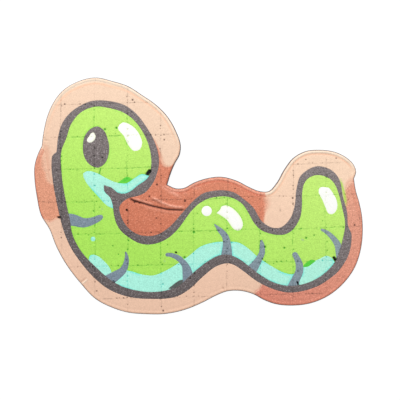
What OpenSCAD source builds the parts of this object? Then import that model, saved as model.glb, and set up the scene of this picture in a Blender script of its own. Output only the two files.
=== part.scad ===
// Soft plastic worm patch: thin pours of coloured soft plastic fused to one soft base layer,
// with a raised rim and a sewing channel on the face, and hook tape let into the back.
// It lies flat, face up: X runs from head to tail, Y towards the top of the drawing, Z up.

/* [Outline] */
// Overall length, head to tail
part_length = 100; // [80:1:125]
// Overall width, belly to top of head
part_width = 72; // [58:1:90]
// Longest straight step along a curved edge
curve_step = 1.2; // [0.6:0.1:2]

/* [Layers] */
// Thickness of the base layer
base_thickness = 1.9; // [1.4:0.1:3]
// Thickness of the colour pours
pour_thickness = 0.8; // [0.6:0.1:1.6]
// How far the base layer stands out past the border
base_lip = 0.25; // [0.1:0.05:0.6]

/* [Rim and sewing channel] */
// Width of the raised rim
rim_width = 0.8; // [0.5:0.1:1.5]
// Height of the rim above the face
rim_height = 0.3; // [0.1:0.05:0.6]
// Width of the sewing channel inside the rim
channel_width = 0.8; // [0.5:0.1:1.5]
// Depth of the sewing channel below the face
channel_depth = 0.25; // [0.1:0.05:0.5]

/* [Hook tape] */
// Distance from the outer edge in to the tape
tape_margin = 4; // [3:0.5:6]
// Radius of the tape's rounded corners
tape_corner_radius = 1.5; // [0.5:0.5:3]
// Thickness of the woven tape
tape_thickness = 0.6; // [0.4:0.1:1]
// Height of the hooks below the tape
hook_height = 1.2; // [0.8:0.1:2]
// Margin of bare tape round the hooks
hook_margin = 0.8; // [0.4:0.1:2]
// Thickness of the adhesive film
film_thickness = 0.1; // [0.05:0.05:0.3]
// Depth of the recess that holds the tape
recess_depth = 0.4; // [0.2:0.1:0.8]
// Clearance round the tape in its recess
recess_clearance = 0.3; // [0.1:0.1:0.8]

/* [Markings] */
// Diameter of the round highlight on the back
back_dot_diameter = 3.1; // [2:0.1:4]
// Diameter of the pale spot on the neck
neck_spot_diameter = 1.4; // [0.8:0.1:2.2]
// Change in the width of every stripe
stripe_growth = 0; // [-0.3:0.05:0.6]

/* [Hidden] */
$fn = 48;

// The outlines below are drawn at this length and width, then scaled to the part's own.
drawn_length = 100;
drawn_width = 72;

tape_top = hook_height + tape_thickness;
base_top = tape_top + film_thickness - recess_depth + base_thickness;
face_top = base_top + pour_thickness;

peach = "#f6d2b9";
terracotta = "#d47a5e";
ink = "#6f6666";
green = "#b4ea6c";
pale_blue = "#b4f2e0";
slate = "#8094a2";
cream = "#fffff5";
dark_green = "#4fae3a";
taupe = "#9a8579";
tape_grey = "#3d3f42";

// ---------- Smooth outlines ----------
// An outline is a closed list of points [x, y]; [x, y, 1] marks a sharp corner.

function flat(p) = [p.x, p.y];
function at(points, i) = points[(i + len(points)) % len(points)];
function is_corner(p) = len(p) > 2;
function leg(points, i) = flat(at(points, i + 1)) - flat(at(points, i));

// Direction of the curve through point i, weighted to the nearer neighbour
function heading(points, i) =
    let (a = leg(points, i - 1), b = leg(points, i), la = norm(a), lb = norm(b))
    (a * lb / la + b * la / lb) / (la + lb);

// Hermite curve from p to q with end tangents m and n
function hermite(p, q, m, n, t) =
    (2 * t^3 - 3 * t^2 + 1) * p + (t^3 - 2 * t^2 + t) * m + (3 * t^2 - 2 * t^3) * q + (t^3 - t^2) * n;

function on_leg(points, i, t) =
    let (
        b = leg(points, i),
        m = is_corner(at(points, i)) ? b : norm(b) * heading(points, i),
        n = is_corner(at(points, i + 1)) ? b : norm(b) * heading(points, i + 1)
    )
    hermite(flat(at(points, i)), flat(at(points, i + 1)), m, n, t);

function steps_for(length) = max(2, ceil(length / curve_step));

function smooth_loop(points) = [
    for (i = [0:len(points) - 1])
        let (steps = steps_for(norm(leg(points, i))))
            for (s = [0:steps - 1])
                on_leg(points, i, s / steps)
];

// Open smooth line through points that may carry a width as their third value
function smooth_line(points) =
    let (last = len(points) - 1)
    concat(
        [
            for (i = [0:last - 1])
                let (
                    p = points[i],
                    q = points[i + 1],
                    before = points[max(i - 1, 0)],
                    after = points[min(i + 2, last)],
                    steps = steps_for(norm(flat(q) - flat(p)))
                )
                    for (s = [0:steps - 1])
                        hermite(p, q, (q - before) / 2, (after - p) / 2, s / steps)
        ],
        [points[last]]
    );

function side_step(line, i) =
    let (a = line[max(i - 1, 0)], b = line[min(i + 1, len(line) - 1)], d = flat(b) - flat(a))
    [-d.y, d.x] / norm(d);

function half_side(line, i) = side_step(line, i) * (line[i].z + stripe_growth) / 2;

// Half circle over an end of a stroke: turn is 1 at the end and -1 at the start
function round_end(line, i, turn) =
    let (side = half_side(line, i), forward = [side.y, -side.x])
    [for (angle = [30:30:150]) flat(line[i]) + turn * (side * cos(angle) + forward * sin(angle))];

// Outline of a brush stroke with round ends along a line of [x, y, width]
function stroke(points) =
    let (line = smooth_line(points), last = len(line) - 1)
    concat(
        [for (i = [0:last]) flat(line[i]) + half_side(line, i)],
        round_end(line, last, 1),
        [for (i = [last:-1:0]) flat(line[i]) - half_side(line, i)],
        round_end(line, 0, -1)
    );

function reversed(list) = [for (i = [len(list) - 1:-1:0]) list[i]];

// ---------- Outlines, clockwise, in mm ----------

outer_edge = [
    [-31, 36], [-26.5, 35], [-21.5, 33.4], [-17.2, 30.7], [-12.9, 27.7], [-9.3, 24], [-6.7, 19.4],
    [-5.4, 15.3], [-5.7, 12.6], [-7.2, 9.8], [-8.6, 6.4], [-9.5, 3.4, 1], [-7, 2.3], [-4.5, 2.4],
    [-1.7, 3.9], [2.3, 5.3], [7.1, 5.8], [11.7, 4.6], [15.6, 2.6], [18.7, 1.4], [21.4, 1.4],
    [23.7, 3.8], [26.1, 8], [28.8, 11.5], [32.6, 13.6], [36.9, 14], [41.4, 13.4], [44.8, 11.8],
    [47.3, 9.4], [48, 7.2], [47.3, 5.2, 1], [47.9, 1.6], [49, -2.2], [49.8, -6.4], [50, -11],
    [49.4, -16.4], [47.6, -21.8], [44.2, -26.6], [39.6, -30.4], [34.2, -32.7], [28.8, -33.4],
    [23.2, -32.9], [19.7, -31.6], [16.8, -30], [12.5, -28.9], [8.6, -29.1], [5.7, -30.2],
    [1.2, -32.5], [-4.5, -34.8], [-10.7, -36], [-16.1, -36], [-21.6, -35.5], [-26.4, -34],
    [-31.2, -31.5], [-36, -26.5], [-40.4, -20.7], [-43.4, -15.2], [-45.4, -10.1], [-47.9, -6],
    [-49.2, -0.4], [-49.9, 4.8], [-50, 8.4], [-49.5, 11], [-48.7, 13.2], [-47.7, 15.2, 1],
    [-47.5, 17.2], [-46.9, 20.8], [-46, 24.3], [-44.4, 28], [-41.7, 31.7], [-37.2, 34.6]
];

ink_outer = [
    [-30.1, 29], [-26.8, 28.7], [-22.4, 27.5], [-19.4, 25.4], [-16, 21.2], [-13.4, 16.6],
    [-12.1, 12.3], [-12, 9.6], [-12.5, 7], [-13.4, 4.6], [-14.6, 2.7], [-16.3, 0.9], [-18.6, -0.1],
    [-20.9, -0.6], [-23, -1.9], [-24, -3.4], [-23.8, -5.2], [-22.1, -8.8], [-20.2, -10.7],
    [-18.1, -11.8], [-15.6, -12.2], [-13.2, -12], [-11.1, -11.1], [-9, -9.6], [-4.6, -4.8],
    [-1.2, -1.2], [1.5, 0.8], [4.5, 1.5], [7.4, 1.7], [10.6, 1.1], [13.9, -1.1], [16.6, -3.5],
    [19.3, -7.8], [21.2, -9.2], [23.1, -9.8], [25, -9.6], [26.5, -8.5], [28, -6.6], [29.1, -3.4],
    [29.8, 2.4], [31, 6.1], [32.7, 7.6], [34.5, 8.6], [36.3, 9], [38.2, 8.7], [40.2, 7.9],
    [41.8, 6.5], [42.9, 4.6], [43.8, -0.1], [45.1, -4.9], [45.5, -9.4], [46.4, -11.4],
    [46.4, -14.1], [45.3, -18.6], [43.9, -21], [42.2, -23.2], [39.5, -25.4], [36.9, -27.1],
    [34.2, -28.2], [30.8, -29.1], [27.3, -29.4], [23.5, -28.6], [18.3, -26.3], [13.1, -22.5],
    [11, -21.1], [9.1, -20.5], [7, -20.8], [4.9, -21.7], [2.3, -23.7], [-3.8, -29.1],
    [-6.4, -30.5], [-9, -31.1], [-14, -31.3], [-19.4, -31], [-23, -30.2], [-28.2, -27.8],
    [-30.9, -25.6], [-36.3, -19.5], [-38.9, -15.5], [-40.5, -11.9], [-42.3, -5.6], [-43.2, -1.3],
    [-44.1, 3.6], [-44.6, 10.4], [-44.4, 12.1], [-43.1, 13.3, 1], [-42.5, 18.5], [-41.8, 21.1],
    [-40.3, 23.7], [-38, 26], [-35.4, 27.6], [-32.7, 28.7]
];

ink_inner = [
    [-30.1, 27.1], [-27.6, 26.7], [-23.3, 25.5], [-20.2, 23.5], [-17.2, 19.8], [-15.1, 15.2],
    [-14.4, 11.8], [-14.4, 8.8], [-15.1, 5.9], [-18.8, 2.9], [-20.8, 1.3], [-22.3, 0.7],
    [-24.6, 1], [-26.4, 2.5], [-27.6, 2.9], [-28.7, 3.3, 1], [-28.7, 1.6], [-26.8, -0.6],
    [-26.1, -2.6], [-25.7, -5.7], [-24.9, -8.5], [-23.5, -10.7], [-21.5, -12.4], [-19.5, -13.7],
    [-17.4, -14.6], [-14.6, -14.8], [-11.6, -14.1], [-9, -12.7], [-6.4, -10.3], [-3, -5.7],
    [-1.6, -4], [1.4, -1.6], [3.5, -0.7], [5.7, -0.3], [8, -0.2], [10.1, -0.6], [11.8, -1.4],
    [13.4, -2.6], [14.8, -4.6], [17.2, -8.7], [18.8, -10.3], [21.4, -11.4], [24.1, -11.9],
    [26.4, -11.7], [28.2, -10.7], [29.9, -8.6], [31, -6.2], [31.4, -3.4], [31.5, 1.1],
    [32, 3.5], [33, 5], [34.4, 5.9], [36.1, 6.3], [38, 6], [39.8, 5.2], [41.3, 3.6],
    [42.6, 0.4], [43.6, -3.6], [44.5, -8.6], [43.8, -13], [42.8, -16.6], [41.3, -20.2],
    [38.7, -23.1], [36.1, -25], [33.4, -26.3], [30.3, -27.1], [27.2, -27.3], [24.4, -26.8],
    [21.8, -25.8], [17.4, -23], [12.2, -19.1], [10.1, -18.1], [8.4, -17.8], [6.1, -18.1],
    [3.7, -19.3], [-0.3, -22.2], [-3.9, -25.5], [-5.8, -27.2], [-9, -28.5], [-14.3, -29.2],
    [-19.4, -28.6], [-22.9, -27.6], [-25.3, -26.4], [-31.2, -21.6], [-35.4, -17.1], [-37.1, -14.4],
    [-38.2, -11.9], [-39, -7.5], [-40.2, -1.9], [-41.5, 6.5], [-41.5, 14], [-40.1, 17.5],
    [-38.7, 21.7], [-37.5, 23.5], [-36.2, 24.9], [-34.6, 26], [-32.5, 26.8]
];

// ---------- Colour borders ----------
// Each terracotta area reaches past the band on both sides, and the band trims it.

nape_area = [
    [-52, 14.6, 1], [-47.1, 14.2], [-46.3, 11.6], [-45.8, 7.6], [-45.2, 4.9], [-43.8, 3.7], [-40, 3.4, 1],
    [-40, -6.3, 1], [-42.6, -6.6], [-43.8, -7.2], [-45.2, -7.9], [-46.6, -7.2], [-52, -6.4, 1]
];

tail_side_area = [
    [17.4, -34, 1], [17.1, -30], [17.3, -29], [18.4, -28.3], [19, -27.2], [21, -23, 1], [30, -16, 1],
    [40, -2.5, 1], [43.9, -2, 1], [44.5, 1.6], [45.1, 3.4], [46.2, 4.5], [47.4, 5.3, 1], [53, 6, 1],
    [53, -34, 1]
];

neck_area = [
    [-15, 19, 1], [-13.1, 16.5, 1], [-11.5, 12.9], [-10.9, 10.2], [-10.1, 9.1], [-8.9, 8.9],
    [-7.4, 9.7], [-4, 14, 1], [20, 4, 1], [20.3, 0.3], [21, -2.6], [20.3, -5.1], [19.6, -10, 1],
    [0, -14, 1], [-30, -14, 1]
];

head_box = [[-60, 1], [0, 40]];
belly_box = [[-60, -40], [19.8, 0]];
tail_cap_box = [[14, -12], [60, 20]];

// ---------- Markings ----------

jaw_area = [
    [-35, 6.8], [-33.7, 7.5], [-31.4, 7.1], [-28.1, 5.4], [-25.2, 4.1], [-22.2, 3.9], [-19.5, 5.3],
    [-17.2, 6.6], [-15.3, 6.2], [-12, 4, 1], [-20, -3, 1], [-26, -3.8], [-27.6, -3.1], [-30.1, -0.6],
    [-32.7, 2.3], [-34.4, 4.6]
];

chest_area = [
    [-33.3, -19.3], [-32.9, -18.1], [-31.7, -17.9], [-30.2, -18.5], [-28.8, -19.7], [-27.4, -21.2],
    [-26.5, -22.8], [-27, -26, 1], [-34, -22, 1]
];

// Top edge of the pale belly, from the chest stripe to the tail
belly_edge = [
    [-23, -22.7, 1], [-21.6, -22.7], [-17.1, -23.9], [-13.8, -24.2], [-10.7, -23.1], [-5.9, -20.3],
    [-2.6, -18], [0.5, -15.5], [4.5, -14.2], [8.6, -13.9], [12.4, -14.3], [15, -15.9],
    [17.8, -18.4], [22.6, -21.6], [26.1, -23.4], [28.6, -23.8], [30.2, -23], [31.5, -21.6],
    [33.6, -20.5], [36.9, -19.1], [38.8, -18.2], [40.4, -18.8], [41.4, -20.2], [46, -24, 1]
];
belly_floor = [[46, -34, 1], [-27.6, -34, 1], [-27.6, -25.9, 1], [-25.3, -24.4, 1]];

// Brush strokes as [x, y, width]; the widest end of most runs in under the outline
stripe_lines = [
    [[-42, -7.2, 3.9], [-38.4, -7.3, 3.6], [-34.9, -8.2, 2.9], [-32, -7.6, 2.2], [-30.3, -6.8, 1.9],
        [-29.7, -6.5, 1.5]],
    [[-22.1, -17.2, 0.5], [-21.8, -18.5, 1.1], [-22, -20.6, 1.7], [-23, -22.7, 2.2],
        [-25.3, -24.4, 3], [-27.6, -25.9, 3.6]],
    [[-9.5, -17.9, 1.1], [-8.2, -18, 1.3], [-6, -19, 1.7], [-4.2, -20.9, 2], [-3.4, -23.2, 3],
        [-3, -26.4, 3.4]],
    [[4.9, -8.7, 0.3], [6.4, -10.3, 1.5], [8.1, -12.3, 2], [8.6, -14.5, 2.4], [8.6, -17.2, 3.2],
        [8.5, -19.4, 3.7]],
    [[19.1, -13.8, 0.8], [19.3, -14.9, 1.4], [19.3, -17.2, 1.8], [18.2, -19.5, 2.1],
        [16.6, -21.9, 3], [15.2, -23.5, 3.3]],
    [[29.3, -17.9, 1.7], [29.9, -19, 1.8], [30.6, -20.8, 2.2], [30.6, -23, 2.4], [29.7, -25, 2.5],
        [28.4, -28.2, 3.3]],
    [[37.4, -10.3, 0.7], [39, -11.1, 1.2], [40.9, -12.9, 1.6], [42.3, -15, 2], [42.6, -17.2, 2],
        [42.2, -19.2, 0.8]]
];

head_highlight_edge = [
    [-23, 22.3], [-21.3, 21.9], [-19.4, 20.6], [-17.8, 18.3], [-17.1, 16.1], [-17.8, 14.1],
    [-19.5, 13.6], [-21.4, 15.5], [-22.6, 18.1], [-24.5, 20.7]
];

back_highlight_edge = [
    [5.5, -5.2, 1], [6.6, -4.1], [6.9, -3.3], [8.3, -2.9], [10.1, -3.6], [11.8, -5.1], [13.2, -7.3],
    [13.5, -9.1], [12.5, -10.5], [11.1, -10.4], [9.9, -9.2], [8.8, -7.5], [7, -6.1]
];

tail_highlight_edge = [
    [36.5, 1.9], [37.1, 2.6], [38.4, 2.6], [39.6, 2.4], [40.4, 1.4], [41.7, -0.8], [42.2, -2.8],
    [41.7, -4.7], [40.5, -5.6], [39.4, -5.3], [38.8, -4.1], [37.7, -1.4]
];

eye_edge = [
    [-30.7, 21.1], [-28.6, 19.7], [-27.6, 17.4], [-27.1, 15], [-27.3, 12.5], [-28.4, 9.8],
    [-30.4, 8.5], [-33.2, 9.6], [-34.7, 11.9], [-35.1, 15.1], [-34.6, 18], [-32.8, 20.3]
];

eye_glint_edge = [[-32, 19.3], [-31.2, 18.1], [-31.7, 16.8], [-33.2, 16.1], [-33.9, 16.7], [-33.3, 18]];

jaw_shade_edge = [[-24.6, 3.9, 1], [-23.1, 5], [-21.7, 5.8], [-19.9, 5, 1], [-21.8, 3.8]];

tail_shade_edge = [[31.4, -21.7, 1], [33.2, -19.9], [34.3, -19.4], [35.6, -19.8, 1], [34.4, -20.7], [33.3, -21.5]];

belly_sliver_edge = [[-9.2, -28.2, 1], [-7.6, -26.9], [-6.4, -26], [-5.2, -25.5], [-3.8, -25.4, 1], [-5.8, -28.4, 1]];

back_dot_centre = [2.5, -4.6];
neck_spot_centre = [-32, -13.1];

// ---------- Flat shapes ----------

module drawn() scale([part_length / drawn_length, part_width / drawn_width]) children();
module outline(points) drawn() polygon(smooth_loop(points));
module patch_shape() outline(outer_edge);
module border_shape() offset(delta = -base_lip) patch_shape();
module inset_border(distance) offset(delta = -distance) border_shape();
module inner_shape() outline(ink_inner);
module window(corners) drawn() translate(corners[0]) square(corners[1] - corners[0]);
module tape_shape(growth = 0)
    offset(r = tape_corner_radius + growth)
        offset(delta = -tape_margin - tape_corner_radius)
            patch_shape();

module terracotta_areas() {
    outline(nape_area);
    outline(tail_side_area);
    outline(neck_area);
}

module stripe_shape(number) intersection() {
    drawn() polygon(stroke(stripe_lines[number - 1]));
    inner_shape();
}

module stripe_shapes() for (number = [1:len(stripe_lines)]) drawn() polygon(stroke(stripe_lines[number - 1]));

// The part of the drawing between two stripes, split along the middle of each
module between_stripes(first, second) drawn() polygon(concat(
    [for (p = stripe_lines[first - 1]) flat(p)],
    [[stripe_lines[first - 1][5].x, -40], [stripe_lines[second - 1][5].x, -40]],
    [for (p = reversed(stripe_lines[second - 1])) flat(p)]
));

module markings_on_green() {
    stripe_shapes();
    outline(jaw_area);
    outline(chest_area);
    outline(concat(belly_edge, belly_floor));
    outline(head_highlight_edge);
    outline(back_highlight_edge);
    outline(tail_highlight_edge);
    outline(eye_edge);
    outline(jaw_shade_edge);
    outline(tail_shade_edge);
    dot(back_dot_centre, back_dot_diameter);
    dot(neck_spot_centre, neck_spot_diameter);
}

module dot(centre, diameter) translate([
    centre.x * part_length / drawn_length,
    centre.y * part_width / drawn_width
]) circle(d = diameter);

// ---------- Solids ----------

module layer(bottom, thickness) translate([0, 0, bottom]) linear_extrude(thickness) children();
module face_pour() layer(base_top, pour_thickness) children();

// A stretch of border in three steps: channel floor, face, raised rim
module border_pour() {
    layer(base_top, pour_thickness - channel_depth) intersection() {
        children();
        border_shape();
    }
    layer(face_top - channel_depth, channel_depth) intersection() {
        children();
        union() {
            inset_border(rim_width + channel_width);
            difference() {
                border_shape();
                inset_border(rim_width);
            }
        }
    }
    layer(face_top, rim_height) intersection() {
        children();
        difference() {
            border_shape();
            inset_border(rim_width);
        }
    }
}

module peach_area(corners) difference() {
    window(corners);
    terracotta_areas();
    outline(ink_outer);
}

module terracotta_area(points) difference() {
    outline(points);
    outline(ink_outer);
}

module belly_panel(number) face_pour() difference() {
    intersection() {
        outline(concat(belly_edge, belly_floor));
        inner_shape();
        if (number < 5) between_stripes(number + 1, number + 2);
        else tail_end_of_belly();
    }
    stripe_shapes();
    outline(tail_shade_edge);
    outline(belly_sliver_edge);
}

// The belly past the last stripe that crosses it
module tail_end_of_belly() drawn() polygon(concat(
    [for (p = stripe_lines[5]) flat(p)],
    [[28, -40], [60, -40], [60, -10]]
));

module base_layer() color(taupe) difference() {
    layer(base_top - base_thickness, base_thickness) patch_shape();
    layer(base_top - base_thickness, recess_depth) tape_shape(recess_clearance);
}
module hook_field() color(tape_grey) layer(0, hook_height) tape_shape(-hook_margin);
module hook_tape() color(tape_grey) layer(hook_height, tape_thickness) tape_shape();
module adhesive_film() color(cream) layer(tape_top, film_thickness) tape_shape();

module border_head() color(peach) border_pour() peach_area(head_box);
module border_nape() color(terracotta) border_pour() terracotta_area(nape_area);
module border_belly() color(peach) border_pour() peach_area(belly_box);
module border_tail_side() color(terracotta) border_pour() terracotta_area(tail_side_area);
module border_tail_cap() color(peach) border_pour() peach_area(tail_cap_box);
module border_neck() color(terracotta) border_pour() terracotta_area(neck_area);

module ink_outline() color(ink) face_pour() difference() {
    outline(ink_outer);
    inner_shape();
}

module green_body() color(green) face_pour() difference() {
    inner_shape();
    markings_on_green();
}

module jaw_pour() color(pale_blue) face_pour() difference() {
    intersection() {
        outline(jaw_area);
        inner_shape();
    }
    outline(jaw_shade_edge);
}

module chest_pour() color(pale_blue) face_pour() difference() {
    intersection() {
        outline(chest_area);
        inner_shape();
    }
    stripe_shapes();
}

module neck_spot() color(pale_blue) face_pour() dot(neck_spot_centre, neck_spot_diameter);

module belly_panel_1() color(pale_blue) belly_panel(1);
module belly_panel_2() color(pale_blue) belly_panel(2);
module belly_panel_3() color(pale_blue) belly_panel(3);
module belly_panel_4() color(pale_blue) belly_panel(4);
module belly_panel_5() color(pale_blue) belly_panel(5);

module stripe_1() color(slate) face_pour() stripe_shape(1);
module stripe_2() color(slate) face_pour() stripe_shape(2);
module stripe_3() color(slate) face_pour() stripe_shape(3);
module stripe_4() color(slate) face_pour() stripe_shape(4);
module stripe_5() color(slate) face_pour() stripe_shape(5);
module stripe_6() color(slate) face_pour() stripe_shape(6);
module stripe_7() color(slate) face_pour() stripe_shape(7);

module head_highlight() color(cream) face_pour() outline(head_highlight_edge);
module back_highlight() color(cream) face_pour() outline(back_highlight_edge);
module tail_highlight() color(cream) face_pour() outline(tail_highlight_edge);
module back_dot() color(cream) face_pour() dot(back_dot_centre, back_dot_diameter);

module eye_pupil() color(ink) face_pour() difference() {
    outline(eye_edge);
    outline(eye_glint_edge);
}
module eye_glint() color(cream) face_pour() outline(eye_glint_edge);

module jaw_shade() color(dark_green) face_pour() outline(jaw_shade_edge);
module tail_shade() color(dark_green) face_pour() difference() {
    outline(tail_shade_edge);
    stripe_shapes();
}
module belly_sliver() color(slate) face_pour() difference() {
    intersection() {
        outline(belly_sliver_edge);
        inner_shape();
    }
    stripe_shapes();
}

base_layer();
hook_field();
hook_tape();
adhesive_film();
border_head();
border_nape();
border_belly();
border_tail_side();
border_tail_cap();
border_neck();
ink_outline();
green_body();
jaw_pour();
chest_pour();
neck_spot();
belly_panel_1();
belly_panel_2();
belly_panel_3();
belly_panel_4();
belly_panel_5();
stripe_1();
stripe_2();
stripe_3();
stripe_4();
stripe_5();
stripe_6();
stripe_7();
head_highlight();
back_highlight();
back_dot();
tail_highlight();
eye_pupil();
eye_glint();
jaw_shade();
tail_shade();
belly_sliver();
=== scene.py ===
"""Looks for a soft plastic worm patch: moulded pours of coloured plastic on a soft base, and hook tape.

Outlines, sizes and reliefs are worked out in millimetres and handed to Blender in metres.
"""

import logging
import math
from dataclasses import dataclass, field
from enum import Enum
from typing import ClassVar

import bmesh
import bpy
import numpy as np
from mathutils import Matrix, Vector
from mathutils.geometry import delaunay_2d_cdt


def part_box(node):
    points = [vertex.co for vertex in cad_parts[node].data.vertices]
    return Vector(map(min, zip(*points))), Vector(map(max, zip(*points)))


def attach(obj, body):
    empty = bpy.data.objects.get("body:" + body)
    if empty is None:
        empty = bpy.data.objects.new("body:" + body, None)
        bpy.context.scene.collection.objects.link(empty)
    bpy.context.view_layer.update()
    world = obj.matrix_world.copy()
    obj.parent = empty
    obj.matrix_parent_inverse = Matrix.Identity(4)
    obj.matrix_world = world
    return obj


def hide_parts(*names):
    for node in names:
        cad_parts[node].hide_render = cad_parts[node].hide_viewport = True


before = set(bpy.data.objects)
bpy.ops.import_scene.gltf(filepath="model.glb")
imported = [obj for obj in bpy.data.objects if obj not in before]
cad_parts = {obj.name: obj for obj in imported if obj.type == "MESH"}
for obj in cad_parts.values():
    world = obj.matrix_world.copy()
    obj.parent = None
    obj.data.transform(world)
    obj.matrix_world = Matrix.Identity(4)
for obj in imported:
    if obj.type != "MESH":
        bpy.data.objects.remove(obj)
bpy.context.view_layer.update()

LOG = logging.getLogger("worm_patch")

# Metres in a millimetre, then limits in millimetres for reading and filling outlines
MM = 0.001
WELD_DECIMALS = 4
MERGE_MM = 1e-5
CROWDED_MM = 0.02
FLAT_MM = 2e-3
SLIVER_AREA = 1e-9
TINY = 1e-9
TINY_SQUARE = 1e-12
SILHOUETTE_STEP = 0.6

# Points that are measured at once
CHUNK = 3000

# Edges that bend by more degrees than this stay sharp
SHARP_DEGREES = 42.0

Colour = tuple[float, float, float]
Point = tuple[float, float]
Line = tuple[Point, ...]


# ---------- Outlines and distances ----------


@dataclass(frozen=True)
class Outline:
    """Straight segments in the plane, in millimetres, that distances are measured from.

    Attributes:
        start: First point of each segment.
        end: Last point of each segment.
    """

    start: np.ndarray
    end: np.ndarray

    @classmethod
    def of_loops(cls, loops: list[np.ndarray]) -> "Outline":
        """Makes an outline of closed loops.

        Args:
            loops: Closed loops of points, each without its first point repeated.

        Returns:
            The outline of all their segments.
        """
        start = np.vstack(loops)
        end = np.vstack([np.roll(loop, -1, axis=0) for loop in loops])
        return cls(start, end)

    @classmethod
    def of_line(cls, line: Line) -> "Outline":
        """Makes an outline of one open line."""
        points = np.array(line, float)
        return cls(points[:-1], points[1:])

    def kept(self, wanted: np.ndarray) -> "Outline":
        """Returns the outline with only the wanted segments."""
        return Outline(self.start[wanted], self.end[wanted])

    def middles(self) -> np.ndarray:
        """Returns the middle of each segment."""
        return (self.start + self.end) / 2

    def measure(self, points: np.ndarray) -> tuple[np.ndarray, np.ndarray]:
        """Measures the distance from each point to the nearest segment.

        Args:
            points: Points in millimetres, one a row.

        Returns:
            The distances, and the nearest places on the outline.
        """
        run = self.end - self.start
        square = np.maximum((run ** 2).sum(1), TINY_SQUARE)
        distances = np.empty(len(points))
        places = np.empty((len(points), 2))
        for first in range(0, len(points), CHUNK):
            part = points[first:first + CHUNK, None, :]
            along = np.clip(((part - self.start) * run).sum(2) / square, 0, 1)
            near = self.start + along[..., None] * run
            gap = ((part - near) ** 2).sum(2)
            best = gap.argmin(1)
            rows = np.arange(len(best))
            distances[first:first + CHUNK] = np.sqrt(gap[rows, best])
            places[first:first + CHUNK] = near[rows, best]
        return distances, places

    def distance(self, points: np.ndarray) -> np.ndarray:
        """Returns the distance from each point to the nearest segment."""
        return self.measure(points)[0]

    def contains(self, points: np.ndarray) -> np.ndarray:
        """Tells which points lie inside the closed outline, by counting crossings.

        Args:
            points: Points in millimetres, one a row.

        Returns:
            True for each point inside.
        """
        inside = np.zeros(len(points), bool)
        low, high = self.start[:, 1], self.end[:, 1]
        slope = (self.end[:, 0] - self.start[:, 0]) / np.where(high == low, 1, high - low)
        for first in range(0, len(points), CHUNK):
            part = points[first:first + CHUNK]
            y = part[:, 1, None]
            crosses = (low > y) != (high > y)
            reach = self.start[:, 0] + (y - low) * slope
            inside[first:first + CHUNK] = (crosses & (part[:, 0, None] < reach)).sum(1) % 2 == 1
        return inside


def node_loops(name: str, level: float) -> list[np.ndarray]:
    """Reads the closed outlines of a CAD node's flat face at one height.

    Args:
        name: The CAD node.
        level: The height of the flat face, in millimetres.

    Returns:
        The face's loops, each with the face on its left.
    """
    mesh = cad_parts[name].data
    mesh.calc_loop_triangles()
    corners = np.zeros(len(mesh.vertices) * 3)
    mesh.vertices.foreach_get("co", corners)
    corners = np.round(corners.reshape(-1, 3) / MM, WELD_DECIMALS)
    spots, index = np.unique(corners, axis=0, return_inverse=True)
    triangles = np.zeros(len(mesh.loop_triangles) * 3, int)
    mesh.loop_triangles.foreach_get("vertices", triangles)
    triangles = index.ravel()[triangles].reshape(-1, 3)
    flat = np.abs(spots[triangles][:, :, 2] - level).max(1) < FLAT_MM
    triangles = triangles[flat]
    a, b, c = (spots[triangles[:, k], :2] for k in range(3))
    turn = (b - a)[:, 0] * (c - a)[:, 1] - (b - a)[:, 1] * (c - a)[:, 0]
    triangles[turn < 0] = triangles[turn < 0][:, ::-1]
    loops = edge_loops(triangles[np.abs(turn) > SLIVER_AREA])
    return [thinned(spots[loop, :2]) for loop in loops]


def thinned(loop: np.ndarray) -> np.ndarray:
    """Drops the points of a closed loop that crowd the point before them.

    Args:
        loop: The loop's points.

    Returns:
        The loop without them.
    """
    gap = np.linalg.norm(loop - np.roll(loop, 1, axis=0), axis=1)
    return loop[gap > CROWDED_MM]


def edge_loops(triangles: np.ndarray) -> list[list[int]]:
    """Chains the open edges of a sheet of triangles into closed loops.

    Args:
        triangles: Corner numbers, one triangle a row, all turning the same way.

    Returns:
        The loops as lists of corner numbers.
    """
    edges = np.vstack([triangles[:, [0, 1]], triangles[:, [1, 2]], triangles[:, [2, 0]]])
    known = set(map(tuple, edges.tolist()))
    follows: dict[int, list[int]] = {}
    for a, b in known:
        if (b, a) not in known:
            follows.setdefault(a, []).append(b)
    loops = []
    for first in sorted(follows):
        while follows[first]:
            loop = [first]
            step = follows[first].pop()
            while step != first:
                loop.append(step)
                step = follows[step].pop()
            loops.append(loop)
    return loops


def divided(loop: np.ndarray, step: float) -> np.ndarray:
    """Divides a closed loop's segments so that none is longer than a step.

    Args:
        loop: The loop's points.
        step: The longest segment, in millimetres.

    Returns:
        The loop with the added points.
    """
    after = np.roll(loop, -1, axis=0)
    made = []
    for a, b in zip(loop, after):
        count = max(1, math.ceil(np.linalg.norm(b - a) / step))
        made.append(a + (b - a) * (np.arange(count) / count)[:, None])
    return np.vstack(made)


def inward(loop: np.ndarray) -> np.ndarray:
    """Finds the direction into the face at each point of a loop.

    Args:
        loop: The loop's points, with the face on its left.

    Returns:
        The directions, one a row.
    """
    run = np.roll(loop, -1, axis=0) - np.roll(loop, 1, axis=0)
    side = np.stack([-run[:, 1], run[:, 0]], 1)
    return side / np.maximum(np.linalg.norm(side, axis=1), TINY)[:, None]


def hex_grid(low: np.ndarray, high: np.ndarray, step: float) -> np.ndarray:
    """Lays out a staggered grid of points over a box.

    Args:
        low: The box's lowest corner.
        high: The box's highest corner.
        step: The distance between points in a row.

    Returns:
        The points, one a row.
    """
    rows = np.arange(low[1], high[1], step * math.sqrt(3) / 2)
    across = np.arange(low[0], high[0], step)
    x = across[None, :] + (np.arange(len(rows)) % 2 * step / 2)[:, None]
    y = np.broadcast_to(rows[:, None], x.shape)
    return np.stack([x.ravel(), y.ravel()], 1)


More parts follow.
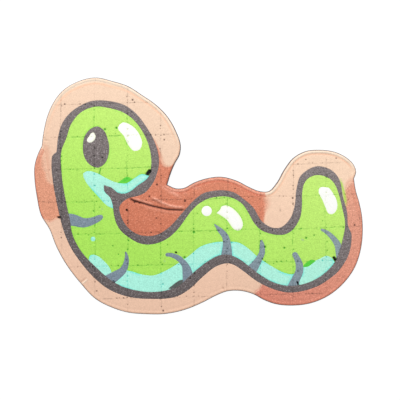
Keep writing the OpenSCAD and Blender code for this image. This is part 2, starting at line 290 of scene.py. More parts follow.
def triangulated(points: np.ndarray, loops: list[np.ndarray]) -> tuple[np.ndarray, np.ndarray]:
    """Fills closed loops with triangles through the given points.

    Args:
        points: The points inside, one a row.
        loops: The closed loops around the face.

    Returns:
        The corners and the triangles, all turning to face up. With no points inside, the corners are
        the loops' own, in their order.
    """
    edges = []
    first = 0
    for loop in loops:
        numbers = np.arange(first, first + len(loop))
        edges += zip(numbers.tolist(), np.roll(numbers, -1).tolist())
        first += len(loop)
    cloud = np.vstack([*loops, points])
    made = delaunay_2d_cdt([Vector(p) for p in cloud], edges, [], 0, MERGE_MM)
    corners = np.array([tuple(p) for p in made[0]])
    triangles = np.array([face for face in made[2] if len(face) == 3])
    if not len(points):
        corners = cloud
        triangles = np.array([origin[0] for origin in made[3]])[triangles]
    middles = corners[triangles].mean(1)
    triangles = triangles[Outline.of_loops(loops).contains(middles)]
    a, b, c = (corners[triangles[:, k]] for k in range(3))
    turn = (b - a)[:, 0] * (c - a)[:, 1] - (b - a)[:, 1] * (c - a)[:, 0]
    triangles[turn < 0] = triangles[turn < 0][:, ::-1]
    return corners, triangles[np.abs(turn) > SLIVER_AREA]


def smooth(edge_low: float, edge_high: float, value: np.ndarray) -> np.ndarray:
    """Returns an even step from 0 at the low edge to 1 at the high one."""
    t = np.clip((value - edge_low) / (edge_high - edge_low), 0, 1)
    return t * t * (3 - 2 * t)


def bell(value: np.ndarray, centre: float, width: float) -> np.ndarray:
    """Returns a soft bump that is 1 at the centre and fades over the width."""
    return np.exp(-(((value - centre) / width) ** 2))


# ---------- Levels and relief ----------


@dataclass(frozen=True)
class Levels:
    """Heights of the layers, in millimetres, as the CAD nodes have them."""

    base_bottom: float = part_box("base_layer")[0].z / MM
    base_top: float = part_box("base_layer")[1].z / MM
    face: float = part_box("green_body")[1].z / MM
    rim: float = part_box("border_head")[1].z / MM
    recess_roof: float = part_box("adhesive_film")[1].z / MM
    tape_bottom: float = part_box("hook_tape")[0].z / MM
    tape_top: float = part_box("hook_tape")[1].z / MM
    hooks_bottom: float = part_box("hook_field")[0].z / MM


LEVELS = Levels()
SILHOUETTE_LOOP = max(node_loops("base_layer", LEVELS.base_top), key=len)
SILHOUETTE = Outline.of_loops([divided(SILHOUETTE_LOOP, SILHOUETTE_STEP)])


@dataclass(frozen=True)
class Rim:
    """The raised rim and sewing channel, as heights across the border from its outer edge.

    Attributes:
        crest_at: Distance of the rim's crest from the outer edge.
        crest_reach: Half width of the crest.
        crest_height: Height of the crest over the face.
        channel_at: Distance of the channel's middle from the outer edge.
        channel_reach: Half width of the channel.
        channel_depth: Depth of the channel under the face.
        lip: Width of the bare base layer outside the border.
        edge_drop: How far the border's outer edge rolls down.
        edge_reach: Width of that roll.
        worn: How much flatter the rim and the channel are along the lower edges.
        up_from: How far an edge faces up where the rim starts to be crisp.
        up_to: How far it faces up where the rim is wholly crisp.
        tint_reach: Half width of the painted highlight on the crest and the painted shade in the channel.
        lip_shade: Strength of the painted shade beside the lip of the lower edges.
        lip_reach: Half width of that painted shade.
        broad_at: Where the rim's painted highlight and shade are broadest.
        broad_reach: How far that broad stretch runs.
        broad_share: How much broader they are there.
    """

    crest_at: float = 0.68
    crest_reach: float = 0.32
    crest_height: float = 0.13
    channel_at: float = 1.28
    channel_reach: float = 0.36
    channel_depth: float = 0.09
    lip: float = 0.25
    edge_drop: float = 0.3
    edge_reach: float = 0.26
    worn: float = 0.55
    up_from: float = -0.05
    up_to: float = 0.8
    tint_reach: float = 0.3
    lip_shade: float = 0.75
    lip_reach: float = 0.34
    broad_at: Point = (-34.0, 35.0)
    broad_reach: float = 13.0
    broad_share: float = 0.42

    def narrowed(self, distance: np.ndarray, points: np.ndarray) -> np.ndarray:
        """Shortens distances from the edge where the rim's painted highlight and shade are broad, so that
        one band fits all.

        Args:
            distance: Distances from the outer edge.
            points: The points themselves.

        Returns:
            The distances to read the colours at.
        """
        away = np.linalg.norm(points - self.broad_at, axis=1)
        return distance / (1 + self.broad_share * bell(away, 0, self.broad_reach))

    def upward(self, places: np.ndarray, points: np.ndarray) -> np.ndarray:
        """Tells how far the nearest edge faces the worm's upper side.

        Args:
            places: The nearest places on the outer edge.
            points: The points themselves.

        Returns:
            1 along the upper edges, falling to 0 along the sides and the lower ones.
        """
        out = places - points
        facing = out[:, 1] / np.maximum(np.linalg.norm(out, axis=1), TINY)
        return smooth(self.up_from, self.up_to, facing)

    def height(self, distance: np.ndarray, upward: np.ndarray) -> np.ndarray:
        """Finds the border's height: the rim is crisp along the upper edges and worn flatter elsewhere.

        Args:
            distance: Distances from the outer edge.
            upward: How far the nearest edge faces up.

        Returns:
            The heights over the face.
        """
        crest = self.crest_height * bell(distance, self.crest_at, self.crest_reach)
        channel = self.channel_depth * bell(distance, self.channel_at, self.channel_reach)
        roll = self.edge_drop * (1 - np.clip((distance - self.lip) / self.edge_reach, 0, 1)) ** 2
        return (crest - channel) * (1 - self.worn + self.worn * upward) - roll


# A stroke fades out over this many of its reaches, and keeps this weight at its ends
FADE_REACHES = 3
END_WEIGHT = 0.35

# Fine points lie within so many reaches of a stroke, and the open grid keeps clear by so many
FINE_REACHES = 2.4
OPEN_REACHES = 2.6


@dataclass(frozen=True)
class Stroke:
    """A fold, nick or scratch that runs along a line.

    Attributes:
        line: The points it runs through.
        reach: Half width.
        height: Height over the face, or depth where it is less than 0.
        mark: How strongly it is marked: painted shade in a fold's or nick's groove, a dark line, black in a
            gap, or a stain or speck.
        pale: How far the colour pales on it: painted highlight on a ridge or lip, or a pale smear.
        blunt: True where its ends are as wide as its middle.
    """

    line: Line
    reach: float
    height: float
    mark: float = 0.0
    pale: float = 0.0
    blunt: bool = False

    def weight(self, points: np.ndarray) -> np.ndarray:
        """Weighs points by how near the line they are.

        Args:
            points: Points in millimetres, one a row.

        Returns:
            1 on the line, fading to 0 away from it, and less towards both ends unless they are blunt.
        """
        weights = np.zeros(len(points))
        close = self.beside(points, FADE_REACHES * self.reach)
        if close.any():
            distance, near = Outline.of_line(self.line).measure(points[close])
            weights[close] = bell(distance, 0, self.reach)
            if not self.blunt:
                ends = np.array([self.line[0], self.line[-1]])
                to_end = np.linalg.norm(near[:, None] - ends, axis=2).min(1)
                full = smooth(0, FADE_REACHES * self.reach, to_end)
                weights[close] *= END_WEIGHT + (1 - END_WEIGHT) * full
        return weights

    def beside(self, points: np.ndarray, reach: float) -> np.ndarray:
        """Returns which points lie in the line's box, widened by a reach."""
        line = np.array(self.line)
        return ((points > line.min(0) - reach) & (points < line.max(0) + reach)).all(1)

    def close_to(self, points: np.ndarray, reach: float) -> np.ndarray:
        """Tells which points lie within a reach of the line.

        Args:
            points: Points in millimetres, one a row.
            reach: The distance.

        Returns:
            True for each point that near.
        """
        close = self.beside(points, reach)
        if close.any():
            close[close] = Outline.of_line(self.line).distance(points[close]) < reach
        return close


@dataclass(frozen=True)
class Pit:
    """A small round hole in the face, left by a bubble in the pour.

    Attributes:
        x: Where it is along the length.
        y: Where it is across the width.
        radius: Its radius at the face.
        depth: Its depth.
        mark: How dark it is inside, from 0 to 1.
    """

    x: float
    y: float
    radius: float
    depth: float
    mark: float


# The crease across the neck: its groove, darkened with painted shade, the ridges above it and the lip below,
# lightened with painted highlight
CREASE = (
    Stroke(((-21.1, -0.7), (-19.5, -1.6), (-16.8, -2.3), (-14.2, -3.1), (-11.9, -3.6), (-9.3, -4.15),
            (-6.6, -4.3), (-4.0, -4.4)), 0.3, -0.42, 1.0),
    Stroke(((-20.4, -1.2), (-19.0, -1.7), (-17.6, -2.1)), 0.34, -0.3, 0.95),
    Stroke(((-12.4, -3.4), (-11.2, -3.8)), 0.3, -0.2, 0.8),
    Stroke(((-9.9, -4.0), (-8.4, -4.3)), 0.3, -0.2, 0.8),
    Stroke(((-19.8, -0.9), (-16.6, -1.7), (-13.8, -2.5)), 0.3, 0.16, 0.0, 0.7),
    Stroke(((-14.0, -0.5), (-12.6, -1.2), (-10.9, -2.1), (-8.9, -2.9), (-6.8, -3.35), (-4.4, -3.5)),
           0.34, 0.24, 0.0, 1.0),
    Stroke(((-14.4, -1.0), (-12.9, -1.8), (-11.2, -2.8)), 0.24, -0.12, 0.4),
    Stroke(((-17.0, -3.2), (-13.0, -4.2), (-9.5, -5.0), (-6.0, -5.3)), 0.4, 0.08, 0.0, 0.25),
)
SMEARS = (
    Stroke(((-9.6, 1.7), (-7.6, 0.9), (-5.6, -0.3)), 0.55, 0.05, 0.0, 0.75),
    Stroke(((-11.4, 3.1), (-10.2, 2.2), (-8.4, 1.5)), 0.4, 0.05, 0.0, 0.6),
    Stroke(((-5.0, 1.2), (-3.4, 0.4)), 0.5, 0.05, 0.0, 0.45),
    Stroke(((-2.4, 3.0), (-1.0, 2.4), (0.6, 2.2)), 0.4, 0.05, 0.0, 0.5),
)
# Nicks on the edge and scratches: painted shade in their grooves and painted highlight on their raised lips;
# the one under the eye is a dark line
NICKS = (
    Stroke(((-36.2, -26.6), (-35.2, -25.9), (-34.2, -25.1)), 0.28, -0.25, 0.12),
    Stroke(((-35.5, -26.8), (-34.5, -26.0), (-33.7, -25.3)), 0.25, 0.16, 0.0, 0.9),
    Stroke(((7.2, -27.5), (7.5, -28.2), (7.7, -28.8)), 0.25, -0.22, 0.3),
    Stroke(((6.4, -28.6), (7.2, -28.9), (8.2, -28.7)), 0.25, 0.14),
    Stroke(((-47.4, 17.0), (-46.4, 16.8), (-45.4, 16.7)), 0.3, -0.16, 0.1),
    Stroke(((-15.9, 28.6), (-15.3, 27.9)), 0.2, -0.2, 0.15),
    Stroke(((-13.2, 26.7), (-12.6, 26.0)), 0.2, -0.2, 0.15),
    Stroke(((-29.7, 8.3), (-29.9, 7.5), (-30.2, 6.6)), 0.2, -0.14, 1.0, 0.0, True),
    Stroke(((24.7, -3.9), (25.0, -4.9)), 0.2, -0.14, 0.6),
)
STROKES = (*CREASE, *SMEARS, *NICKS)

# Gaps where three pours meet and none of them has run in; black inside, partly the dark base layer below and
# partly painted shade
VOIDS = (
    Stroke(((-15.45, 6.7), (-14.85, 7.5)), 0.62, -0.6, 1.0, 0.0, True),
    Stroke(((41.15, -18.8), (41.5, -19.4)), 0.46, -0.6, 1.0, 0.0, True),
    Stroke(((30.0, -26.2), (30.25, -26.9)), 0.27, -0.5, 1.0, 0.0, True),
    Stroke(((-42.7, -6.5), (-42.0, -6.5)), 0.3, -0.5, 1.0, 0.0, True),
    Stroke(((-6.9, -17.15), (-6.7, -17.25)), 0.3, -0.4, 1.0, 0.0, True),
    Stroke(((-21.8, -4.25), (-21.75, -4.35)), 0.36, -0.45, 1.0, 0.0, True),
    Stroke(((-25.7, -25.9), (-25.5, -26.3)), 0.2, -0.3, 0.8, 0.0, True),
)

# Bubbles that show plainly
BUBBLES = (
    Pit(-19.4, -1.9, 0.32, 0.3, 1.0), Pit(-4.1, -1.6, 0.32, 0.3, 1.0), Pit(-14.9, -0.2, 0.26, 0.24, 1.0),
    Pit(-12.6, 3.4, 0.32, 0.3, 1.0), Pit(-12.8, -6.8, 0.24, 0.2, 0.8), Pit(-17.9, -2.2, 0.26, 0.2, 0.9),
    Pit(20.2, -15.5, 0.34, 0.26, 1.0), Pit(26.1, -15.8, 0.32, 0.22, 0.9), Pit(32.7, -12.8, 0.34, 0.22, 0.95),
    Pit(-1.4, -11.0, 0.4, 0.28, 1.0), Pit(-28.4, 20.2, 0.34, 0.24, 1.0), Pit(-24.9, 20.6, 0.34, 0.24, 1.0),
    Pit(-4.2, -18.7, 0.36, 0.26, 1.0), Pit(19.4, -19.1, 0.3, 0.2, 0.9), Pit(7.7, -14.0, 0.26, 0.2, 0.8),
    Pit(10.1, -14.2, 0.26, 0.2, 0.8), Pit(-20.0, 29.1, 0.3, 0.24, 1.0), Pit(-20.2, 25.4, 0.24, 0.2, 0.8),
    Pit(-10.4, 17.0, 0.24, 0.18, 1.0), Pit(-26.0, -15.2, 0.22, 0.14, 0.8), Pit(-10.8, -26.8, 0.24, 0.2, 0.9),
    Pit(-10.7, -34.9, 0.28, 0.24, 1.0), Pit(-10.5, -30.4, 0.24, 0.2, 0.8), Pit(28.6, -0.7, 0.26, 0.22, 1.0),
    Pit(28.7, -2.5, 0.22, 0.2, 1.0), Pit(32.6, 11.0, 0.2, 0.16, 0.8), Pit(41.8, 11.4, 0.24, 0.18, 0.8),
    Pit(45.5, -1.2, 0.18, 0.16, 0.6), Pit(47.4, -8.9, 0.26, 0.2, 1.0), Pit(30.2, -22.9, 0.28, 0.2, 0.6),
    Pit(8.8, -9.9, 0.24, 0.2, 0.9), Pit(18.8, -11.5, 0.24, 0.16, 0.7), Pit(-29.2, 11.6, 0.3, 0.2, 1.0),
    Pit(-31.4, 14.4, 0.22, 0.16, 0.8), Pit(-0.3, -5.4, 0.2, 0.14, 0.6), Pit(-31.5, 3.1, 0.18, 0.1, 0.5),
    Pit(37.7, -7.6, 0.18, 0.12, 0.6), Pit(-24.3, -17.8, 0.2, 0.12, 0.8), Pit(22.8, -20.6, 0.22, 0.14, 0.6),
    Pit(2.0, -20.0, 0.2, 0.14, 0.6), Pit(-30.8, -24.8, 0.26, 0.2, 0.8), Pit(-21.2, -13.6, 0.24, 0.2, 0.9),
    Pit(-2.5, -25.0, 0.24, 0.18, 0.9), Pit(11.1, 2.2, 0.22, 0.16, 0.8), Pit(-30.9, -28.9, 0.24, 0.2, 0.9),
    Pit(-25.2, 18.8, 0.18, 0.12, 0.6), Pit(-9.4, -14.9, 0.2, 0.12, 0.7), Pit(17.7, -8.2, 0.24, 0.18, 1.0),
    Pit(35.1, -12.0, 0.22, 0.16, 0.9), Pit(-33.4, -11.9, 0.2, 0.14, 0.7), Pit(-30.0, -3.5, 0.2, 0.14, 0.7),
)


@dataclass(frozen=True)
class Grid:
    """The faint grid of dots that the mould leaves in the face.

    Attributes:
        first_x: Place of one upright line, in millimetres.
        first_y: Place of one level line.
        step_x: Distance between upright lines.
        step_y: Distance between level lines.
        lean: How far the level lines rise for each millimetre towards the tail.
        dots_x: Distance between dots along a level line.
        dots_y: Distance between dots along an upright line.
        loose_x: How far a dot is moved along its level line, at most.
        loose_y: How far a dot is moved along its upright line, at most.
        low: Lowest corner of the box that the dots are laid out in.
        high: Highest corner of that box.
        columns: Number of the first upright line, and the number after the last.
        rows: The same for the level lines.
        stray: How far a dot strays from its line.
        bare_edge: Width beside the outer edge that has no dots.
        shade_curve: How much rarer dark dots are than pale ones.
        least_shade: Shade under which a dot doesn't show.
        radii: Radius of the palest dot, and how much wider the darkest one is.
        depths: The same for how deep they are.
        marks: The same for how dark they are inside.
    """

    first_x: float = -1.4
    first_y: float = -0.88
    step_x: float = 10.08
    step_y: float = 9.86
    lean: float = 0.026
    dots_x: float = 1.6
    dots_y: float = 1.5
    loose_x: float = 0.8
    loose_y: float = 0.7
    low: Point = (-49.5, -35.5)
    high: Point = (50.0, 36.0)
    columns: tuple[int, int] = (-4, 5)
    rows: tuple[int, int] = (-4, 4)
    stray: float = 0.1
    bare_edge: float = 2.3
    shade_curve: float = 2.2
    least_shade: float = 0.05
    radii: tuple[float, float] = (0.12, 0.11)
    depths: tuple[float, float] = (0.06, 0.12)
    marks: tuple[float, float] = (0.3, 0.65)

    def pits(self, seed: int = 11) -> list[Pit]:
        """Scatters small shallow pits along the grid's lines.

        Args:
            seed: Start of the random numbers.

        Returns:
            The pits that lie inside the silhouette.
        """
        rng = np.random.default_rng(seed)
        made = []
        for column in range(*self.columns):
            for y in np.arange(self.low[1], self.high[1], self.dots_y):
                across = y + rng.uniform(-self.loose_y, self.loose_y)
                made.append((self.first_x + column * self.step_x, across))
        for row in range(*self.rows):
            for x in np.arange(self.low[0], self.high[0], self.dots_x):
                along = x + rng.uniform(-self.loose_x, self.loose_x)
                made.append((along, self.first_y + row * self.step_y + self.lean * along))
        spots = np.array(made) + rng.normal(0, self.stray, (len(made), 2))
        shades = rng.uniform(0, 1, len(spots)) ** self.shade_curve
        shown = (SILHOUETTE.distance(spots) > self.bare_edge) & (shades > self.least_shade)
        wanted = SILHOUETTE.contains(spots) & shown
        sizes = (self.radii, self.depths, self.marks)
        return [
            Pit(float(x), float(y), *(least + more * shade for least, more in sizes))
            for (x, y), shade in zip(spots[wanted], shades[wanted])
        ]


class Mark(Enum):
    """Names of the values that each face carries at its points, and that its finish reads."""

    # Dark pits, and painted shade in the grooves of folds and nicks
    PIT = "pit"
    # Black gaps, partly painted shade
    VOID = "void"
    # Painted shade in the rim's channel and beside its lower lip
    RIM_SHADE = "fold"
    # Painted highlight on the rim's crest, ridges and lips; also pale smears
    HIGHLIGHT_AND_SMEAR = "crest"
    BLEND = "blend"
    # Painted shade along each pour's edge
    SEAM = "seam"
    STAIN = "stain"
    FLECK = "fleck"


@dataclass(frozen=True)
class SoftEdge:
    """A place where two border colours ran into each other as they were poured.

    Attributes:
        x: Where it is along the length.
        y: Where it is across the width.
        radius: How far the place reaches.
        reach: How far the colours run there.
        whole: Share of the radius out to which they run that far.
        gone: Share of the radius where the place ends.
    """

    x: float
    y: float
    radius: float
    reach: float

    whole: ClassVar[float] = 0.4
    gone: ClassVar[float] = 1.4


SOFT_EDGES = (
    SoftEdge(-48.6, 14.6, 3.2, 1.5), SoftEdge(-47.0, 13.4, 3.2, 1.7), SoftEdge(-46.4, 10.0, 3.5, 1.3),
    SoftEdge(-45.4, 5.4, 2.6, 0.8), SoftEdge(46.5, 4.6, 3.0, 0.8), SoftEdge(20.6, -1.0, 4.0, 0.7),
    SoftEdge(17.4, -30.5, 3.0, 0.35), SoftEdge(-10.8, 10.6, 2.5, 0.45),
)
# How far the border's two colours run into each other elsewhere
HARD_EDGE = 0.2

# How far in the painted shade reaches along a pour's edge
EDGE_SHADE_REACH = 0.4

# Green that has run onto the tail's border, and grey specks in the pours
GREEN_STAINS = (Stroke(((43.0, 4.9), (43.7, 2.4), (44.25, 0.2), (44.7, -2.8)), 0.46, 0.0, 1.0),)
GREY_FLECKS = (
    Stroke(((31.2, -13.2), (31.9, -13.5)), 0.2, 0.05, 1.0),
    Stroke(((-29.4, -4.0), (-29.2, -4.1)), 0.26, 0.0, 0.9),
    Stroke(((-10.4, -19.7), (-10.2, -19.9)), 0.24, 0.0, 0.8),
    Stroke(((-2.0, -2.4), (-1.6, -2.7)), 0.3, 0.0, 0.35),
)
DETAILS = (*STROKES, *VOIDS, *GREEN_STAINS, *GREY_FLECKS)


class Relief:
    """Heights and marks of the whole moulded face, which each pour takes its own part of.

    Attributes:
        rim: The rim and the channel.
        spots: Place, radius, depth and mark of each pit, one a row.
        colour_line: The line between the border's two colours.
        fine: Fine points beside every fold, nick, gap and stain.
        fold_step: Distance between those points.
        pit_reaches: How many of its radii a pit reaches out.
        pit_flatness: How flat a pit's floor is, and so how steep its wall.
        shade_sharpness: How closely a stroke's painted shade keeps to its line.
        void_from: Weight of a stroke where the wall of its gap starts.
        void_full: Weight of a stroke where its gap is at its full depth.
    """

    fold_step: float = 0.22
    pit_reaches: float = 2.2
    pit_flatness: float = 1.6
    shade_sharpness: float = 1.5
    void_from: float = 0.3
    void_full: float = 0.62

    def __init__(self, rim: Rim, grid: Grid) -> None:
        """Prepares the pits, the line between the border's two colours, and fine points for details.

        Args:
            rim: The rim and the channel.
            grid: The mould's grid of dots.
        """
        self.rim = rim
        pits = [*BUBBLES, *grid.pits()]
        self.spots = np.array([[p.x, p.y, p.radius, p.depth, p.mark] for p in pits])
        self.colour_line = self.border_colour_line()
        self.fine = self.points_at_details()

    def points_at_details(self) -> np.ndarray:
        """Lays out a fine staggered grid beside every fold, nick, gap and stain.

        Returns:
            The points, one a row.
        """
        grid = hex_grid(SILHOUETTE_LOOP.min(0), SILHOUETTE_LOOP.max(0), self.fold_step)
        wanted = np.zeros(len(grid), bool)
        for stroke in DETAILS:
            wanted |= stroke.close_to(grid, FINE_REACHES * stroke.reach)
        return grid[wanted]

    @staticmethod
    def border_colour_line() -> Outline:
        """Finds where peach meets terracotta: their edges away from the outer edge and from the outline.

        Returns:
            The line between the two colours.
        """
        step = 0.4
        clear_of_edge = 0.3
        clear_of_ink = 0.03
        ink = Outline.of_loops(node_loops("ink_outline", LEVELS.base_top))
        loops = [
            divided(loop, step)
            for name in ("border_nape", "border_tail_side", "border_neck")
            for loop in node_loops(name, LEVELS.base_top)
        ]
        edges = Outline.of_loops(loops)
        middles = edges.middles()
        inner = SILHOUETTE.distance(middles) > clear_of_edge
        return edges.kept(inner & (ink.distance(middles) > clear_of_ink))

    def near_pits(self, points: np.ndarray) -> tuple[np.ndarray, np.ndarray]:
        """Weighs points by the pits that they lie in.

        Args:
            points: Points in millimetres, one a row.

        Returns:
            The depth, and how dark the pit is, at each point.
        """
        depths, marks = np.zeros(len(points)), np.zeros(len(points))
        for x, y, radius, depth, mark in self.spots:
            gap = np.hypot(points[:, 0] - x, points[:, 1] - y)
            close = gap < self.pit_reaches * radius
            weight = np.exp(-((gap[close] / radius) ** 2) ** self.pit_flatness)
            depths[close] = np.maximum(depths[close], weight * depth)
            marks[close] = np.maximum(marks[close], weight * mark)
        return depths, marks

    def softness(self, points: np.ndarray) -> np.ndarray:
        """Finds how far the border's colours run into each other.

        Args:
            points: Points in millimetres, one a row.

        Returns:
            The distance near each point.
        """
        reach = np.full(len(points), HARD_EDGE)
        for spot in SOFT_EDGES:
            gap = np.hypot(points[:, 0] - spot.x, points[:, 1] - spot.y)
            share = 1 - smooth(spot.whole * spot.radius, spot.gone * spot.radius, gap)
            reach = np.maximum(reach, spot.reach * share)
        return reach

    def read(self, points: np.ndarray, border: bool) -> tuple[np.ndarray, dict[Mark, np.ndarray]]:
        """Reads the relief at points of the face.

        Args:
            points: Points in millimetres, one a row.
            border: True for the border, which carries the rim and the colour line.

        Returns:
            The heights over the face, and the marks.
        """
        depths, pits = self.near_pits(points)
        heights = -depths
        marks = {mark: np.zeros(len(points)) for mark in Mark}
        marks[Mark.PIT] = pits
        # Folds and nicks: painted shade in their grooves, painted highlight on their ridges and lips, and
        # paler colour on smears; the nick under the eye is a dark line
        for stroke in STROKES:
            weight = stroke.weight(points)
            heights += weight * stroke.height
            marks[Mark.PIT] = np.maximum(marks[Mark.PIT], weight ** self.shade_sharpness * stroke.mark)
            marks[Mark.HIGHLIGHT_AND_SMEAR] = np.maximum(marks[Mark.HIGHLIGHT_AND_SMEAR], weight * stroke.pale)
        # Gaps: black inside, partly the dark base layer below and partly painted shade
        for stroke in VOIDS:
            weight = smooth(self.void_from, self.void_full, stroke.weight(points))
            heights += weight * stroke.height
            marks[Mark.VOID] = np.maximum(marks[Mark.VOID], weight * stroke.mark)
        for stroke in GREY_FLECKS:
            marks[Mark.FLECK] = np.maximum(marks[Mark.FLECK], stroke.weight(points) * stroke.mark)
        if border:
            distance, places = SILHOUETTE.measure(points)
            upward = self.rim.upward(places, points)
            heights += self.rim.height(distance, upward)
            distance = self.rim.narrowed(distance, points)
            # Painted highlight on the rim's crest and painted shade in its channel, along the upper edges
            # that face the lamp; painted shade beside the lip of the lower edges
            crest = bell(distance, self.rim.crest_at, self.rim.tint_reach) * upward
            marks[Mark.HIGHLIGHT_AND_SMEAR] = np.maximum(marks[Mark.HIGHLIGHT_AND_SMEAR], crest)
            marks[Mark.RIM_SHADE] = bell(distance, self.rim.channel_at, self.rim.tint_reach) * upward
            painted_shade = bell(distance, self.rim.lip, self.rim.lip_reach) * (1 - upward)
            marks[Mark.RIM_SHADE] += self.rim.lip_shade * painted_shade
            gap = self.colour_line.distance(points)
            marks[Mark.BLEND] = 0.5 * (1 - smooth(0, 1, gap / (2 * self.softness(points))))
            marks[Mark.STAIN] = np.max([s.weight(points) * s.mark for s in GREEN_STAINS], axis=0)
        return heights, marks


# ---------- Meshes ----------


def new_piece(
    name: str,
    corners: np.ndarray,
    faces: list,
    marks: dict[Mark, np.ndarray] | None = None,
    sharp_degrees: float = SHARP_DEGREES,
) -> bpy.types.Object:
    """Makes a mesh piece from points in millimetres, shaded smooth except at sharp edges.

    Args:
        name: The piece's name.
        corners: Its points, one a row.
        faces: Its faces as corner numbers.
        marks: Values at each point for its finish.
        sharp_degrees: Edges that bend by more than this stay sharp.

    Returns:
        The piece, in the scene.
    """
    mesh = bpy.data.meshes.new(name)
    mesh.from_pydata((corners * MM).tolist(), [], [list(map(int, face)) for face in faces])
    mesh.validate()
    for mark, values in (marks or {}).items():
        layer = mesh.attributes.new(mark.value, "FLOAT", "POINT")
        layer.data.foreach_set("value", values.astype(np.float32))
    mesh.shade_smooth()
    mesh.set_sharp_from_angle(angle=math.radians(sharp_degrees))
    piece = bpy.data.objects.new(name, mesh)
    bpy.context.scene.collection.objects.link(piece)
    return piece


def strip(first: np.ndarray, second: np.ndarray) -> list[tuple[int, int, int, int]]:
    """Joins two rings of corner numbers, each in the same order, with a band of four-sided faces."""
    return list(zip(first, np.roll(first, -1), np.roll(second, -1), second))


@dataclass(frozen=True)
class Fineness:
    """How finely a face is meshed.

    Attributes:
        edge: Longest step along an edge.
        open: Distance between points in the open face.
        seam: Distances of the rows that run beside an edge.
        rim_rows: First and last distance and step of the rows that follow the outer edge.
        rim_zone: Width beside the outer edge that those rows fill.
        kept: Share of its row's distance that a point keeps from every edge.
        rim_kept: The same for the rows that follow the outer edge.
        fine_clear: Gap between the edge rows and finer points, as a share of the last row's distance.
        open_clear: The same for the open grid.
        lip_clear: Distance that finer points keep from the outer edge.
        least_clear: Distance that every point inside keeps from the edges.
    """

    edge: float = 0.5
    open: float = 0.55
    seam: tuple[float, ...] = (0.07, 0.16, 0.3)
    rim_rows: tuple[float, float, float] = (0.4, 2.6, 0.15)
    rim_zone: float = 2.75
    kept: float = 0.9
    rim_kept: float = 0.96
    fine_clear: float = 1.2
    open_clear: float = 1.5
    lip_clear: float = 0.45
    least_clear: float = 0.04


@dataclass
class Finished:
    """What every piece of the patch has: where it stands in for the CAD, and its finish.

    Attributes:
        nodes: CAD nodes it stands for.
        slot: The record's material slot; not used.
        finish: Its finish.
    """

    nodes: tuple[str, ...]
    slot: str
    finish: "Finish"

    def settle(self, piece: bpy.types.Object) -> bpy.types.Object:
        """Gives a piece its finish and its body, and hides the CAD nodes that it stands for.

        Args:
            piece: The mesh piece.

        Returns:
            The same piece.
        """
        piece.data.materials.append(self.finish.material())
        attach(piece, "root")
        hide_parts(*self.nodes)
        LOG.info("%s: %d faces, for %s", piece.name, len(piece.data.polygons), ", ".join(self.nodes))
        return piece


